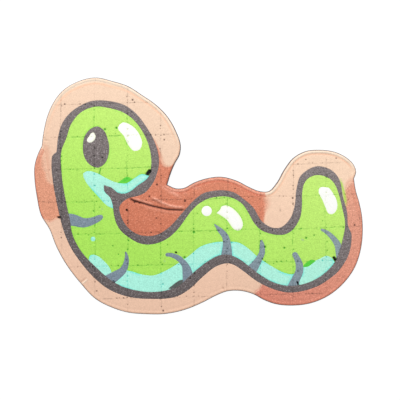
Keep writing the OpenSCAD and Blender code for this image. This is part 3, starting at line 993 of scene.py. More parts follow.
@dataclass
class Pour(Finished):
    """One pour of coloured plastic on the face.

    Attributes:
        relief: The face's relief.
        border: True for a stretch of the border.
        crown: How far its middle swells over the face.
        crown_reach: How far in from the edge it swells.
        seam_drop: How far its edge is drawn down where it meets its neighbours.
        seam_reach: Width of that rounding.
        least: Least height of its face over the base layer.
        fineness: How finely it is meshed.
        pit_clear: How many radii around a pit are kept for its own points.
        pit_rings: Share of the radius, and number of points, of each ring in a pit.
    """

    relief: Relief
    border: bool = False
    crown: float = 0.0
    crown_reach: float = 1.0
    seam_drop: float = 0.045
    seam_reach: float = 0.16
    least: float = 0.12
    fineness: Fineness = field(default_factory=Fineness)

    pit_clear: ClassVar[float] = 1.7
    pit_rings: ClassVar[tuple[tuple[float, int], ...]] = ((0.5, 6), (0.95, 8), (1.5, 9))

    def seeds(self, loops: list[np.ndarray], outline: Outline) -> np.ndarray:
        """Chooses the points inside the face: rows beside its edges, an open grid, and finer ones.

        Args:
            loops: The face's divided loops.
            outline: The same loops as an outline.

        Returns:
            The points, one a row.
        """
        fine = self.fineness
        rows = []
        for reach in fine.seam:
            ring = np.vstack([loop + inward(loop) * reach for loop in loops])
            rows.append(ring[outline.distance(ring) > reach * fine.kept])
        last = fine.seam[-1]
        if self.border:
            edge = divided(SILHOUETTE_LOOP, fine.edge)
            for reach in np.arange(*fine.rim_rows):
                ring = edge + inward(edge) * reach
                fits = SILHOUETTE.distance(ring) > reach * fine.rim_kept
                rows.append(ring[fits & (outline.distance(ring) > last * fine.fine_clear)])
        every = np.vstack(loops)
        grid = hex_grid(every.min(0), every.max(0), fine.open)
        grid = grid[outline.contains(grid)]
        free = outline.distance(grid) > last * fine.open_clear
        details = self.relief.fine
        details = details[outline.contains(details)]
        details = details[outline.distance(details) > last * fine.fine_clear]
        if self.border:
            free &= SILHOUETTE.distance(grid) > fine.rim_zone
            details = details[SILHOUETTE.distance(details) > fine.lip_clear]
        for stroke in DETAILS:
            free &= ~stroke.close_to(grid, OPEN_REACHES * stroke.reach)
        points = self.clear_of_pits(np.vstack([*rows, grid[free], details]))
        points = np.vstack([points, self.pit_points()])
        return points[outline.contains(points) & (outline.distance(points) > fine.least_clear)]

    def clear_of_pits(self, points: np.ndarray) -> np.ndarray:
        """Drops the points that lie in a pit, which has points of its own.

        Args:
            points: Points in millimetres, one a row.

        Returns:
            The points that are left.
        """
        free = np.ones(len(points), bool)
        for x, y, radius, *_ in self.relief.spots:
            free &= np.hypot(points[:, 0] - x, points[:, 1] - y) > self.pit_clear * radius
        return points[free]

    def pit_points(self) -> np.ndarray:
        """Lays out three rings and a middle point for each pit.

        Returns:
            The points, one a row.
        """
        made = []
        for x, y, radius, *_ in self.relief.spots:
            made.append([[x, y]])
            for share, count in self.pit_rings:
                angles = np.arange(count) / count * math.tau + share
                ring = np.stack([np.cos(angles), np.sin(angles)], 1) * radius * share
                made.append(ring + (x, y))
        return np.vstack(made)

    def build(self) -> bpy.types.Object:
        """Builds the pour as a closed solid with the relief on its face.

        Returns:
            The piece.
        """
        loops = [divided(loop, self.fineness.edge) for loop in node_loops(self.nodes[0], LEVELS.base_top)]
        outline = Outline.of_loops(loops)
        flat, tops = triangulated(self.seeds(loops, outline), loops)
        to_edge = outline.distance(flat)
        heights, marks = self.relief.read(flat, self.border)
        # Painted shade along the pour's edge, where it meets its neighbours
        marks[Mark.SEAM] = bell(to_edge, 0, EDGE_SHADE_REACH)
        heights -= self.seam_drop * (1 - np.clip(to_edge / self.seam_reach, 0, 1)) ** 2
        heights += self.crown * smooth(0, self.crown_reach, to_edge)
        lowest = LEVELS.base_top + self.least - LEVELS.face
        heights = np.clip(heights, lowest, LEVELS.rim - LEVELS.face)
        top = np.column_stack([flat, LEVELS.face + heights])
        rings = edge_loops(tops)
        rim = np.concatenate([np.array(ring) for ring in rings])
        below = np.arange(len(rim)) + len(top)
        bottom = np.column_stack([flat[rim], np.full(len(rim), LEVELS.base_top)])
        faces = tops.tolist()
        first = 0
        floor_loops = []
        for ring in rings:
            under = below[first:first + len(ring)]
            faces += [(a, d, c, b) for a, b, c, d in strip(np.array(ring), under)]
            floor_loops.append(flat[ring])
            first += len(ring)
        _, floors = triangulated(np.zeros((0, 2)), floor_loops)
        faces += (floors[:, ::-1] + len(top)).tolist()
        corners = np.vstack([top, bottom])
        spread = {mark: np.concatenate([values, np.zeros(len(rim))]) for mark, values in marks.items()}
        return self.settle(new_piece(f"{self.nodes[0]}_pour", corners, faces, spread))


@dataclass
class BaseLayer(Finished):
    """The soft layer that everything is moulded to, with its recess for the tape.

    Attributes:
        edge_round: Rounding of its outer edge.
        squash: Height of the rounding at the top edge, as a share of its width.
        flare: How much wider the recess is at its mouth.
        flare_height: Height of that wider part.
        step: Longest step along its edges.
    """

    edge_round: float = 0.24
    squash: float = 0.9
    flare: float = 0.1
    flare_height: float = 0.08
    step: float = 0.5

    def rolled(self, degrees: float) -> tuple[float, float]:
        """Returns how far in and how far down the rounding is, at an angle along its quarter circle."""
        turn = math.radians(degrees)
        return self.edge_round * (1 - math.sin(turn)), self.edge_round * (1 - math.cos(turn))

    def build(self) -> bpy.types.Object:
        """Builds the base layer: top, rolled side, underside, recess walls and recess roof.

        Returns:
            The piece.
        """
        edge = divided(SILHOUETTE_LOOP, self.step)
        inside = inward(edge)
        profile = [(self.edge_round, LEVELS.base_top)]
        for degrees in (30, 60, 90):
            inset, drop = self.rolled(degrees)
            profile.append((inset, LEVELS.base_top - drop * self.squash))
        for degrees in (90, 60, 30, 0):
            inset, drop = self.rolled(degrees)
            profile.append((inset, LEVELS.base_bottom + drop))
        rings = [np.column_stack([edge + inside * inset, np.full(len(edge), z)]) for inset, z in profile]
        count = len(edge)
        corners = np.vstack(rings)
        faces = []
        for k in range(len(rings) - 1):
            upper = np.arange(count) + k * count
            faces += strip(upper + count, upper)
        top_ring, bottom_ring = rings[0][:, :2], rings[-1][:, :2]
        roof_loop = max(node_loops("base_layer", LEVELS.recess_roof), key=len)
        roof = divided(roof_loop, self.step)
        mouth = roof - inward(roof) * self.flare
        corners, faces = self.with_cap(corners, faces, [top_ring], LEVELS.base_top, True)
        corners, faces = self.with_cap(corners, faces, [bottom_ring, mouth[::-1]], LEVELS.base_bottom, False)
        first = len(corners)
        flared = LEVELS.base_bottom + self.flare_height
        walls = [(mouth, LEVELS.base_bottom), (roof, flared), (roof, LEVELS.recess_roof)]
        corners = np.vstack([corners, *[np.column_stack([p, np.full(len(p), z)]) for p, z in walls]])
        for k in range(len(walls) - 1):
            lower = np.arange(len(roof)) + first + k * len(roof)
            faces += strip(lower + len(roof), lower)
        corners, faces = self.with_cap(corners, faces, [roof], LEVELS.recess_roof, False)
        return self.settle(welded(new_piece("base_layer_sheet", corners, faces)))

    @staticmethod
    def with_cap(
        corners: np.ndarray, faces: list, loops: list[np.ndarray], level: float, up: bool
    ) -> tuple[np.ndarray, list]:
        """Adds a flat face that fills loops.

        Args:
            corners: The points so far.
            faces: The faces so far.
            loops: The closed loops to fill.
            level: The height of the face.
            up: True for a face that looks up.

        Returns:
            The points and faces with the new ones.
        """
        step = 2.5
        clear_of_edge = 0.6
        low, high = np.vstack(loops).min(0), np.vstack(loops).max(0)
        outline = Outline.of_loops(loops)
        grid = hex_grid(low, high, step)
        grid = grid[outline.contains(grid) & (outline.distance(grid) > clear_of_edge)]
        flat, made = triangulated(grid, loops)
        made = made if up else made[:, ::-1]
        first = len(corners)
        corners = np.vstack([corners, np.column_stack([flat, np.full(len(flat), level)])])
        return corners, faces + (made + first).tolist()


def welded(piece: bpy.types.Object) -> bpy.types.Object:
    """Joins the corners of a piece that lie on each other, so that it is one closed surface.

    Args:
        piece: The piece.

    Returns:
        The same piece.
    """
    together = 2e-6
    work = bmesh.new()
    work.from_mesh(piece.data)
    bmesh.ops.remove_doubles(work, verts=work.verts, dist=together)
    bmesh.ops.recalc_face_normals(work, faces=work.faces)
    work.to_mesh(piece.data)
    work.free()
    piece.data.shade_smooth()
    piece.data.set_sharp_from_angle(angle=math.radians(SHARP_DEGREES))
    return piece


@dataclass
class HookTape(Finished):
    """The woven tape on the back, with ribs across it and a sealed cut edge.

    Attributes:
        rib_pitch: Distance between ribs.
        rib_height: Height of a rib.
        edge_width: Width of the sealed edge.
        bead_height: How far the cut edge is melted back.
        bead_width: Width of that melted bead.
        dent_depth: Depth of the dent beside the sealed edge.
        dent_reach: Half width of the dent.
        rib_from: Share of the sealed edge's width, in from the edge, where the ribs start.
        rib_full: The same for where they reach their full height.
        edge_rows: Distances of the rows of points that run beside the edge.
        edge_gap: Gap between those rows and the points between the ribs.
        edge_kept: Share of its row's distance that a point keeps from every edge.
        edge_step: Longest step along the edge.
        step: Distance between points across the ribs.
    """

    rib_pitch: float = 1.3
    rib_height: float = 0.07
    edge_width: float = 0.5
    bead_height: float = 0.12
    bead_width: float = 0.25
    dent_depth: float = 0.05
    dent_reach: float = 0.12
    rib_from: float = 0.8
    rib_full: float = 1.6
    edge_rows: tuple[float, ...] = (0.12, 0.25, 0.38)
    edge_gap: float = 0.1
    edge_kept: float = 0.95
    edge_step: float = 0.6
    step: float = 0.325

    def build(self) -> bpy.types.Object:
        """Builds the tape as a closed solid with ribs on its underside.

        Returns:
            The piece.
        """
        loops = [divided(loop, self.edge_step) for loop in node_loops(self.nodes[0], LEVELS.tape_bottom)]
        outline = Outline.of_loops(loops)
        low, high = loops[0].min(0), loops[0].max(0)
        across = np.arange(low[0], high[0], self.step * 2)
        along = np.arange(low[1] // self.rib_pitch * self.rib_pitch, high[1], self.step)
        grid = np.stack(np.meshgrid(across, along), 2).reshape(-1, 2)
        to_edge = outline.distance(grid)
        grid = grid[outline.contains(grid) & (to_edge > self.edge_width + self.edge_gap)]
        rows = [grid]
        for reach in (*self.edge_rows, self.edge_width):
            ring = np.vstack([loop + inward(loop) * reach for loop in loops])
            rows.append(ring[outline.distance(ring) > reach * self.edge_kept])
        flat, made = triangulated(np.vstack(rows), loops)
        to_edge = outline.distance(flat)
        ribs = 0.5 - 0.5 * np.cos(flat[:, 1] / self.rib_pitch * math.tau)
        start, full = self.edge_width * self.rib_from, self.edge_width * self.rib_full
        ribs = self.rib_height * ribs * smooth(start, full, to_edge)
        bead = self.bead_height * (1 - np.clip(to_edge / self.bead_width, 0, 1)) ** 2
        dent = self.dent_depth * bell(to_edge, self.edge_width, self.dent_reach)
        bottom = np.column_stack([flat, LEVELS.tape_bottom + self.rib_height - ribs + bead + dent])
        corners = np.vstack([bottom, np.column_stack([flat, np.full(len(flat), LEVELS.tape_top)])])
        faces = made[:, ::-1].tolist() + (made + len(flat)).tolist()
        for ring in edge_loops(made):
            faces += strip(np.array(ring), np.array(ring) + len(flat))
        return self.settle(new_piece("hook_tape_weave", corners, faces))


@dataclass
class HookField(Finished):
    """The rows of bent hooks that stand out of the tape.

    Attributes:
        pitch: Distance between hooks, along and across.
        wire: Thickness of a hook.
        bend: Radius of its bend.
        tip: How far its tip turns back up.
        nip: How far its tip leans back to its root.
        rooted: How far it is sunk in the tape.
        straight: Length of its straight root.
        sides: Flat sides of the round wire.
        root_share: Thickness at its root, as a share of the wire's.
        tip_share: Thickness at its tip, in the same way.
        twist: How far hooks are twisted out of line, in radians.
        slant: How far they slant.
        margin: Bare distance kept from the field's edge.
        seed: Start of the random numbers that lean each hook.
    """

    pitch: float = 1.3
    wire: float = 0.19
    bend: float = 0.25
    tip: float = 0.16
    nip: float = 0.02
    rooted: float = 0.1
    straight: float = 0.3
    sides: int = 6
    root_share: float = 1.5
    tip_share: float = 0.55
    twist: float = 0.12
    slant: float = 0.03
    margin: float = 0.35
    seed: int = 5

    def wire_line(self) -> np.ndarray:
        """Draws the middle line of one hook in its own upright plane, from the tape to the tip.

        Returns:
            Its points, as distances along and up.
        """
        low = LEVELS.hooks_bottom + self.wire / 2 + self.bend
        root = LEVELS.tape_bottom
        points = [(0.0, root + self.rooted), (0.0, root - self.straight), (0.0, low)]
        for angle in (215, 250, 290, 325, 360):
            turn = math.radians(angle)
            points.append((self.bend + self.bend * math.cos(turn), low + self.bend * math.sin(turn)))
        points.append((2 * self.bend - self.nip, low + self.tip))
        return np.array(points)

    def places(self) -> np.ndarray:
        """Lays the hooks out in rows inside the field's outline.

        Returns:
            Each hook's place, and 1 or -1 for the way it faces.
        """
        loops = node_loops(self.nodes[0], LEVELS.tape_bottom)
        outline = Outline.of_loops(loops)
        low, high = loops[0].min(0), loops[0].max(0)
        rows = np.arange(low[1], high[1], self.pitch)
        spots = [
            (x + (k % 2) * self.pitch / 2, y, 1 - 2 * (k % 2))
            for k, y in enumerate(rows)
            for x in np.arange(low[0], high[0], self.pitch)
        ]
        spots = np.array(spots)
        flat = spots[:, :2]
        fits = outline.contains(flat) & (outline.distance(flat) > self.margin + 2 * self.bend)
        return spots[fits]

    def build(self) -> bpy.types.Object:
        """Builds all the hooks as one piece of bent round wire.

        Returns:
            The piece.
        """
        rng = np.random.default_rng(self.seed)
        line = self.wire_line()
        run = np.gradient(line, axis=0)
        run /= np.linalg.norm(run, axis=1)[:, None]
        side = np.column_stack([-run[:, 1], run[:, 0]])
        around = np.arange(self.sides)
        angles = around / self.sides * math.tau
        thick = np.full(len(line), self.wire / 2)
        thick[-1] *= self.tip_share
        thick[0] *= self.root_share
        tube = []
        for (x, z), (nx, nz), radius in zip(line, side, thick):
            for angle in angles:
                reach = radius * math.cos(angle)
                tube.append((x + nx * reach, radius * math.sin(angle), z + nz * reach))
        tube = np.array(tube)
        faces = []
        for k in range(len(line) - 1):
            lower = around + k * self.sides
            faces += strip(lower, lower + self.sides)
        faces.append(tuple(around[::-1]))
        faces.append(tuple(around + (len(line) - 1) * self.sides))
        corners = []
        shapes = []
        for number, (x, y, facing) in enumerate(self.places()):
            turn = rng.normal(0, self.twist) + (0 if facing > 0 else math.pi)
            lean = rng.normal(0, self.slant)
            c, s = math.cos(turn), math.sin(turn)
            drop = LEVELS.tape_bottom - tube[:, 2]
            px = tube[:, 0] + lean * drop
            made = np.column_stack([x + c * px - s * tube[:, 1], y + s * px + c * tube[:, 1], tube[:, 2]])
            corners.append(made)
            shapes += [[v + number * len(tube) for v in face] for face in faces]
        return self.settle(new_piece("hook_field_hooks", np.vstack(corners), shapes, sharp_degrees=60))


# ---------- Shader groups ----------


class Tree:
    """A node tree with short calls to add and join nodes."""

    def __init__(self, tree: bpy.types.NodeTree) -> None:
        """Takes an empty node tree."""
        self.tree = tree

    def add(self, kind: str, settings: dict | None = None, **inputs: object) -> bpy.types.Node:
        """Adds a node.

        Args:
            kind: Blender's name of the node type.
            settings: The node's own settings.
            inputs: Values or sockets for its inputs, by name with _ for a space, or by number as i0, i1.

        Returns:
            The node.
        """
        node = self.tree.nodes.new(kind)
        for key, value in (settings or {}).items():
            setattr(node, key, value)
        for key, value in inputs.items():
            plain = key[0] == "i" and key[1:].isdigit()
            socket = node.inputs[int(key[1:]) if plain else key.replace("_", " ")]
            if isinstance(value, bpy.types.NodeSocket):
                self.tree.links.new(value, socket)
            else:
                socket.default_value = value
        return node

    def math(self, operation: str, *values: object) -> bpy.types.NodeSocket:
        """Adds a Math node and returns its result."""
        inputs = {f"i{k}": value for k, value in enumerate(values)}
        return self.add("ShaderNodeMath", {"operation": operation}, **inputs).outputs[0]

    def vector(self, operation: str, *values: object) -> bpy.types.NodeSocket:
        """Adds a Vector Math node and returns its vector."""
        inputs = {f"i{k}": value for k, value in enumerate(values)}
        return self.add("ShaderNodeVectorMath", {"operation": operation}, **inputs).outputs[0]

    def ramp(
        self, value: object, low: float, high: float, to_low: float = 0, to_high: float = 1
    ) -> bpy.types.NodeSocket:
        """Adds a smooth Map Range node.

        Args:
            value: The value or socket to map.
            low: The value that becomes the first result.
            high: The value that becomes the last one.
            to_low: The first result.
            to_high: The last result.

        Returns:
            The node's result.
        """
        settings = {"interpolation_type": "SMOOTHSTEP"}
        node = self.add("ShaderNodeMapRange", settings, i0=value, i1=low, i2=high, i3=to_low, i4=to_high)
        return node.outputs[0]

    def mix(self, share: object, first: object, second: object) -> bpy.types.NodeSocket:
        """Mixes two colours.

        Args:
            share: Share of the second colour, as a value or socket.
            first: The first colour or socket.
            second: The second colour or socket.

        Returns:
            The mixed colour.
        """
        node = self.add("ShaderNodeMix", {"data_type": "RGBA"})
        for name, value in (("Factor_Float", share), ("A_Color", first), ("B_Color", second)):
            socket = next(s for s in node.inputs if s.identifier == name)
            if isinstance(value, bpy.types.NodeSocket):
                self.tree.links.new(value, socket)
            else:
                socket.default_value = value if name == "Factor_Float" else (*value, 1)
        return next(s for s in node.outputs if s.identifier == "Result_Color")


class Socket(Enum):
    """Kinds of group sockets."""

    VALUE = "NodeSocketFloat"
    VECTOR = "NodeSocketVector"
    COLOUR = "NodeSocketColor"


class Effect:
    """A shared shader group with named inputs and outputs, built once.

    Attributes:
        name: The group's name.
        takes: Names and kinds of its inputs.
        gives: Names and kinds of its outputs.
    """

    name: str = ""
    takes: dict[str, Socket] = {}
    gives: dict[str, Socket] = {}

    def group(self) -> bpy.types.NodeTree:
        """Returns the group, building it the first time.

        Returns:
            The shader group.
        """
        if self.name in bpy.data.node_groups:
            return bpy.data.node_groups[self.name]
        tree = bpy.data.node_groups.new(self.name, "ShaderNodeTree")
        for sockets, way in ((self.takes, "INPUT"), (self.gives, "OUTPUT")):
            for name, kind in sockets.items():
                tree.interface.new_socket(name, in_out=way, socket_type=kind.value)
        source = tree.nodes.new("NodeGroupInput")
        target = tree.nodes.new("NodeGroupOutput")
        made = self.wire(Tree(tree), source.outputs)
        for name, socket in made.items():
            tree.links.new(socket, target.inputs[name])
        return tree

    def wire(self, tree: Tree, given: bpy.types.bpy_prop_collection) -> dict[str, object]:
        """Adds the group's nodes.

        Args:
            tree: The group's tree.
            given: The group's inputs.

        Returns:
            The socket for each output.
        """
        raise NotImplementedError

    def place(self, tree: Tree, **inputs: object) -> bpy.types.bpy_prop_collection:
        """Places the group in a material.

        Args:
            tree: The material's tree.
            inputs: Values or sockets for its inputs.

        Returns:
            The group's outputs.
        """
        return tree.add("ShaderNodeGroup", {"node_tree": self.group()}, **inputs).outputs


class Grain(Effect):
    """Fine salt-and-pepper speckle of filled plastic, with a height for its texture."""

    name = "speckled_grain"
    takes = {"Vector": Socket.VECTOR, "Scale": Socket.VALUE}
    gives = {"Value": Socket.VALUE, "Fleck": Socket.VALUE, "Height": Socket.VALUE}

    def wire(self, tree: Tree, given: bpy.types.bpy_prop_collection) -> dict[str, object]:
        """Joins a fine noise and a coarser one, and picks out the brightest specks.

        Args:
            tree: The group's tree.
            given: The group's inputs.

        Returns:
            The socket for each output.
        """
        fine = tree.add(
            "ShaderNodeTexNoise", Vector=given["Vector"], Scale=given["Scale"], Detail=2.0, Roughness=0.65
        ).outputs["Fac"]
        wide = tree.math("MULTIPLY", given["Scale"], 0.37)
        coarse = tree.add(
            "ShaderNodeTexNoise", Vector=given["Vector"], Scale=wide, Detail=2.0, Roughness=0.6
        ).outputs["Fac"]
        both = tree.math("ADD", tree.math("MULTIPLY", fine, 0.7), tree.math("MULTIPLY", coarse, 0.3))
        value = tree.math("MULTIPLY", tree.math("SUBTRACT", both, 0.5), 4.0)
        return {"Value": value, "Fleck": tree.ramp(fine, 0.56, 0.72), "Height": both}


class DottedGrid(Effect):
    """The mould's grid: broken lines of dots about ten millimetres apart."""

    name = "dotted_grid"
    takes = {
        "Vector": Socket.VECTOR, "First": Socket.VECTOR, "Step": Socket.VECTOR,
        "Lean": Socket.VALUE, "Width": Socket.VALUE,
    }
    gives = {"Line": Socket.VALUE}

    def wire(self, tree: Tree, given: bpy.types.bpy_prop_collection) -> dict[str, object]:
        """Measures the distance to the nearest line each way and breaks the lines into dots.

        Args:
            tree: The group's tree.
            given: The group's inputs.

        Returns:
            The socket for each output.
        """
        half = (0.5, 0.5, 0.5)
        drift = tree.add("ShaderNodeTexNoise", Vector=given["Vector"], Scale=38.0, Detail=1.0)
        wander = tree.vector("SUBTRACT", drift.outputs["Color"], half)
        moved = tree.vector("MULTIPLY_ADD", wander, (0.0016, 0.0016, 0.0), given["Vector"])
        along = tree.add("ShaderNodeSeparateXYZ", i0=given["Vector"]).outputs["X"]
        rise = tree.add("ShaderNodeCombineXYZ", Y=tree.math("MULTIPLY", along, given["Lean"])).outputs[0]
        level = tree.vector("SUBTRACT", moved, rise)
        share = tree.vector("DIVIDE", tree.vector("SUBTRACT", level, given["First"]), given["Step"])
        part = tree.vector("FRACTION", tree.vector("ADD", share, half))
        off = tree.vector("ABSOLUTE", tree.vector("SUBTRACT", part, half))
        gap = tree.add("ShaderNodeSeparateXYZ", i0=tree.vector("MULTIPLY", off, given["Step"])).outputs
        dots = tree.add(
            "ShaderNodeTexNoise", Vector=given["Vector"], Scale=1500.0, Detail=1.0, Roughness=0.5
        ).outputs["Fac"]
        fade = tree.add("ShaderNodeTexNoise", Vector=given["Vector"], Scale=210.0, Detail=2.0).outputs["Fac"]
        broken = tree.math("MULTIPLY", tree.ramp(dots, 0.46, 0.62, 0.3, 1.0), tree.ramp(fade, 0.28, 0.6))
        lines = []
        for axis in ("X", "Y"):
            near = tree.math("DIVIDE", gap[axis], given["Width"])
            lines.append(tree.ramp(near, 0.35, 1.0, 1.0, 0.0))
        line = tree.math("MAXIMUM", *lines)
        return {"Line": tree.math("MULTIPLY", line, broken)}


class Mottle(Effect):
    """Slow uneven tone of a poured colour."""

    name = "poured_mottle"
    takes = {"Vector": Socket.VECTOR, "Scale": Socket.VALUE}
    gives = {"Value": Socket.VALUE}

    def wire(self, tree: Tree, given: bpy.types.bpy_prop_collection) -> dict[str, object]:
        """Makes a slow noise, centred on 0.

        Args:
            tree: The group's tree.
            given: The group's inputs.

        Returns:
            The socket for each output.
        """
        cloud = tree.add(
            "ShaderNodeTexNoise", Vector=given["Vector"], Scale=given["Scale"], Detail=3.0, Distortion=0.6
        ).outputs["Fac"]
        return {"Value": tree.math("MULTIPLY", tree.math("SUBTRACT", cloud, 0.5), 2.0)}


class Toned(Effect):
    """A colour made lighter or darker by grain and mottling together."""

    name = "toned_colour"
    takes = {
        "Colour": Socket.COLOUR, "Grain": Socket.VALUE, "Mottle": Socket.VALUE,
        "Grain Strength": Socket.VALUE, "Mottle Strength": Socket.VALUE,
    }
    gives = {"Colour": Socket.COLOUR}

    def wire(self, tree: Tree, given: bpy.types.bpy_prop_collection) -> dict[str, object]:
        """Scales the colour by one plus both effects.

        Args:
            tree: The group's tree.
            given: The group's inputs.

        Returns:
            The socket for each output.
        """
        grain = tree.math("MULTIPLY", given["Grain"], given["Grain Strength"])
        tone = tree.math("MULTIPLY_ADD", given["Mottle"], given["Mottle Strength"], grain)
        scale = tree.math("MAXIMUM", tree.math("ADD", tone, 1.0), 0.05)
        return {"Colour": tree.add(
            "ShaderNodeVectorMath", {"operation": "SCALE"}, i0=given["Colour"], Scale=scale
        ).outputs[0]}


class PaintedLightSlope(Effect):
    """Painted light: a colour that grows lighter towards the top of the patch and towards the tail.

    Attributes:
        middle: Share of the lighter colour at the middle of the patch.
        slope: How much that share grows in a metre, along each axis.
    """

    name = "painted_light_slope"
    takes = {"Vector": Socket.VECTOR, "Thick": Socket.COLOUR, "Thin": Socket.COLOUR}
    gives = {"Colour": Socket.COLOUR}
    middle: float = 0.45
    slope: tuple[float, float, float] = (8.0, 17.5, 0.0)

    def wire(self, tree: Tree, given: bpy.types.bpy_prop_collection) -> dict[str, object]:
        """Mixes the two colours by place: the share of the lighter one grows up the patch and to the tail.

        Args:
            tree: The group's tree.
            given: The group's inputs.

        Returns:
            The socket for each output.
        """
        settings = {"operation": "DOT_PRODUCT"}
        grown = tree.add("ShaderNodeVectorMath", settings, i0=given["Vector"], i1=self.slope)
        settings = {"operation": "ADD", "use_clamp": True}
        share = tree.add("ShaderNodeMath", settings, i0=grown.outputs["Value"], i1=self.middle).outputs[0]
        return {"Colour": tree.mix(share, given["Thick"], given["Thin"])}


GRAIN = Grain()
PAINTED_LIGHT_SLOPE = PaintedLightSlope()
DOTTED_GRID = DottedGrid()
MOTTLE = Mottle()
TONED = Toned()
MOULD_GRID = Grid()


# ---------- Finishes ----------


@dataclass(frozen=True)
class Finish:
    """A finish that can make its material.

    Attributes:
        name: The material's name.
    """

    name: str

    def material(self) -> bpy.types.Material:
        """Returns the finish's material, building it the first time.

        Returns:
            The material.
        """
        if self.name in bpy.data.materials:
            return bpy.data.materials[self.name]
        made = bpy.data.materials.new(self.name)
        made.use_nodes = True
        made.node_tree.nodes.clear()
        tree = Tree(made.node_tree)
        shader = tree.add("ShaderNodeBsdfPrincipled")
        output = tree.add("ShaderNodeOutputMaterial")
        self.dress(tree, shader)
        made.node_tree.links.new(self.surface(tree, shader), output.inputs[0])
        return made

    def surface(self, tree: Tree, shader: bpy.types.Node) -> bpy.types.NodeSocket:
        """Returns what the material shows: its Principled shader."""
        return shader.outputs[0]

    def dress(self, tree: Tree, shader: bpy.types.Node) -> None:
        """Adds the finish's own nodes.

        Args:
            tree: The material's tree.
            shader: Its Principled shader.
        """
        raise NotImplementedError

    @staticmethod
    def uneven(
        tree: Tree,
        shader: bpy.types.Node,
        tint: Colour,
        scales: tuple[float, float],
        strengths: tuple[float, float],
    ) -> tuple[bpy.types.bpy_prop_collection, bpy.types.bpy_prop_collection]:
        """Gives the shader a colour that grain and mottling make uneven.

        Args:
            tree: The material's tree.
            shader: Its Principled shader.
            tint: The colour.
            scales: Scales of the grain and of the mottling.
            strengths: Strengths of the grain and of the mottling.

        Returns:
            The grain's outputs and the mottling's.
        """
        place = tree.add("ShaderNodeTexCoord").outputs["Object"]
        grain = GRAIN.place(tree, Vector=place, Scale=scales[0])
        cloud = MOTTLE.place(tree, Vector=place, Scale=scales[1])
        colour = TONED.place(
            tree, Colour=(*tint, 1), Grain=grain["Value"], Mottle=cloud["Value"],
            Grain_Strength=strengths[0], Mottle_Strength=strengths[1],
        )["Colour"]
        tree.tree.links.new(colour, shader.inputs["Base Color"])
        return grain, cloud

    @staticmethod
    def bump(tree: Tree, shader: bpy.types.Node, height: object, distance: float, strength: float) -> None:
        """Feeds a height to the shader's normal.

        Args:
            tree: The material's tree.
            shader: Its Principled shader.
            height: The height socket.
            distance: The height of 1, in metres.
            strength: The bump's strength.
        """
        node = tree.add("ShaderNodeBump", Strength=strength, Distance=distance, Height=height)
        tree.tree.links.new(node.outputs[0], shader.inputs["Normal"])


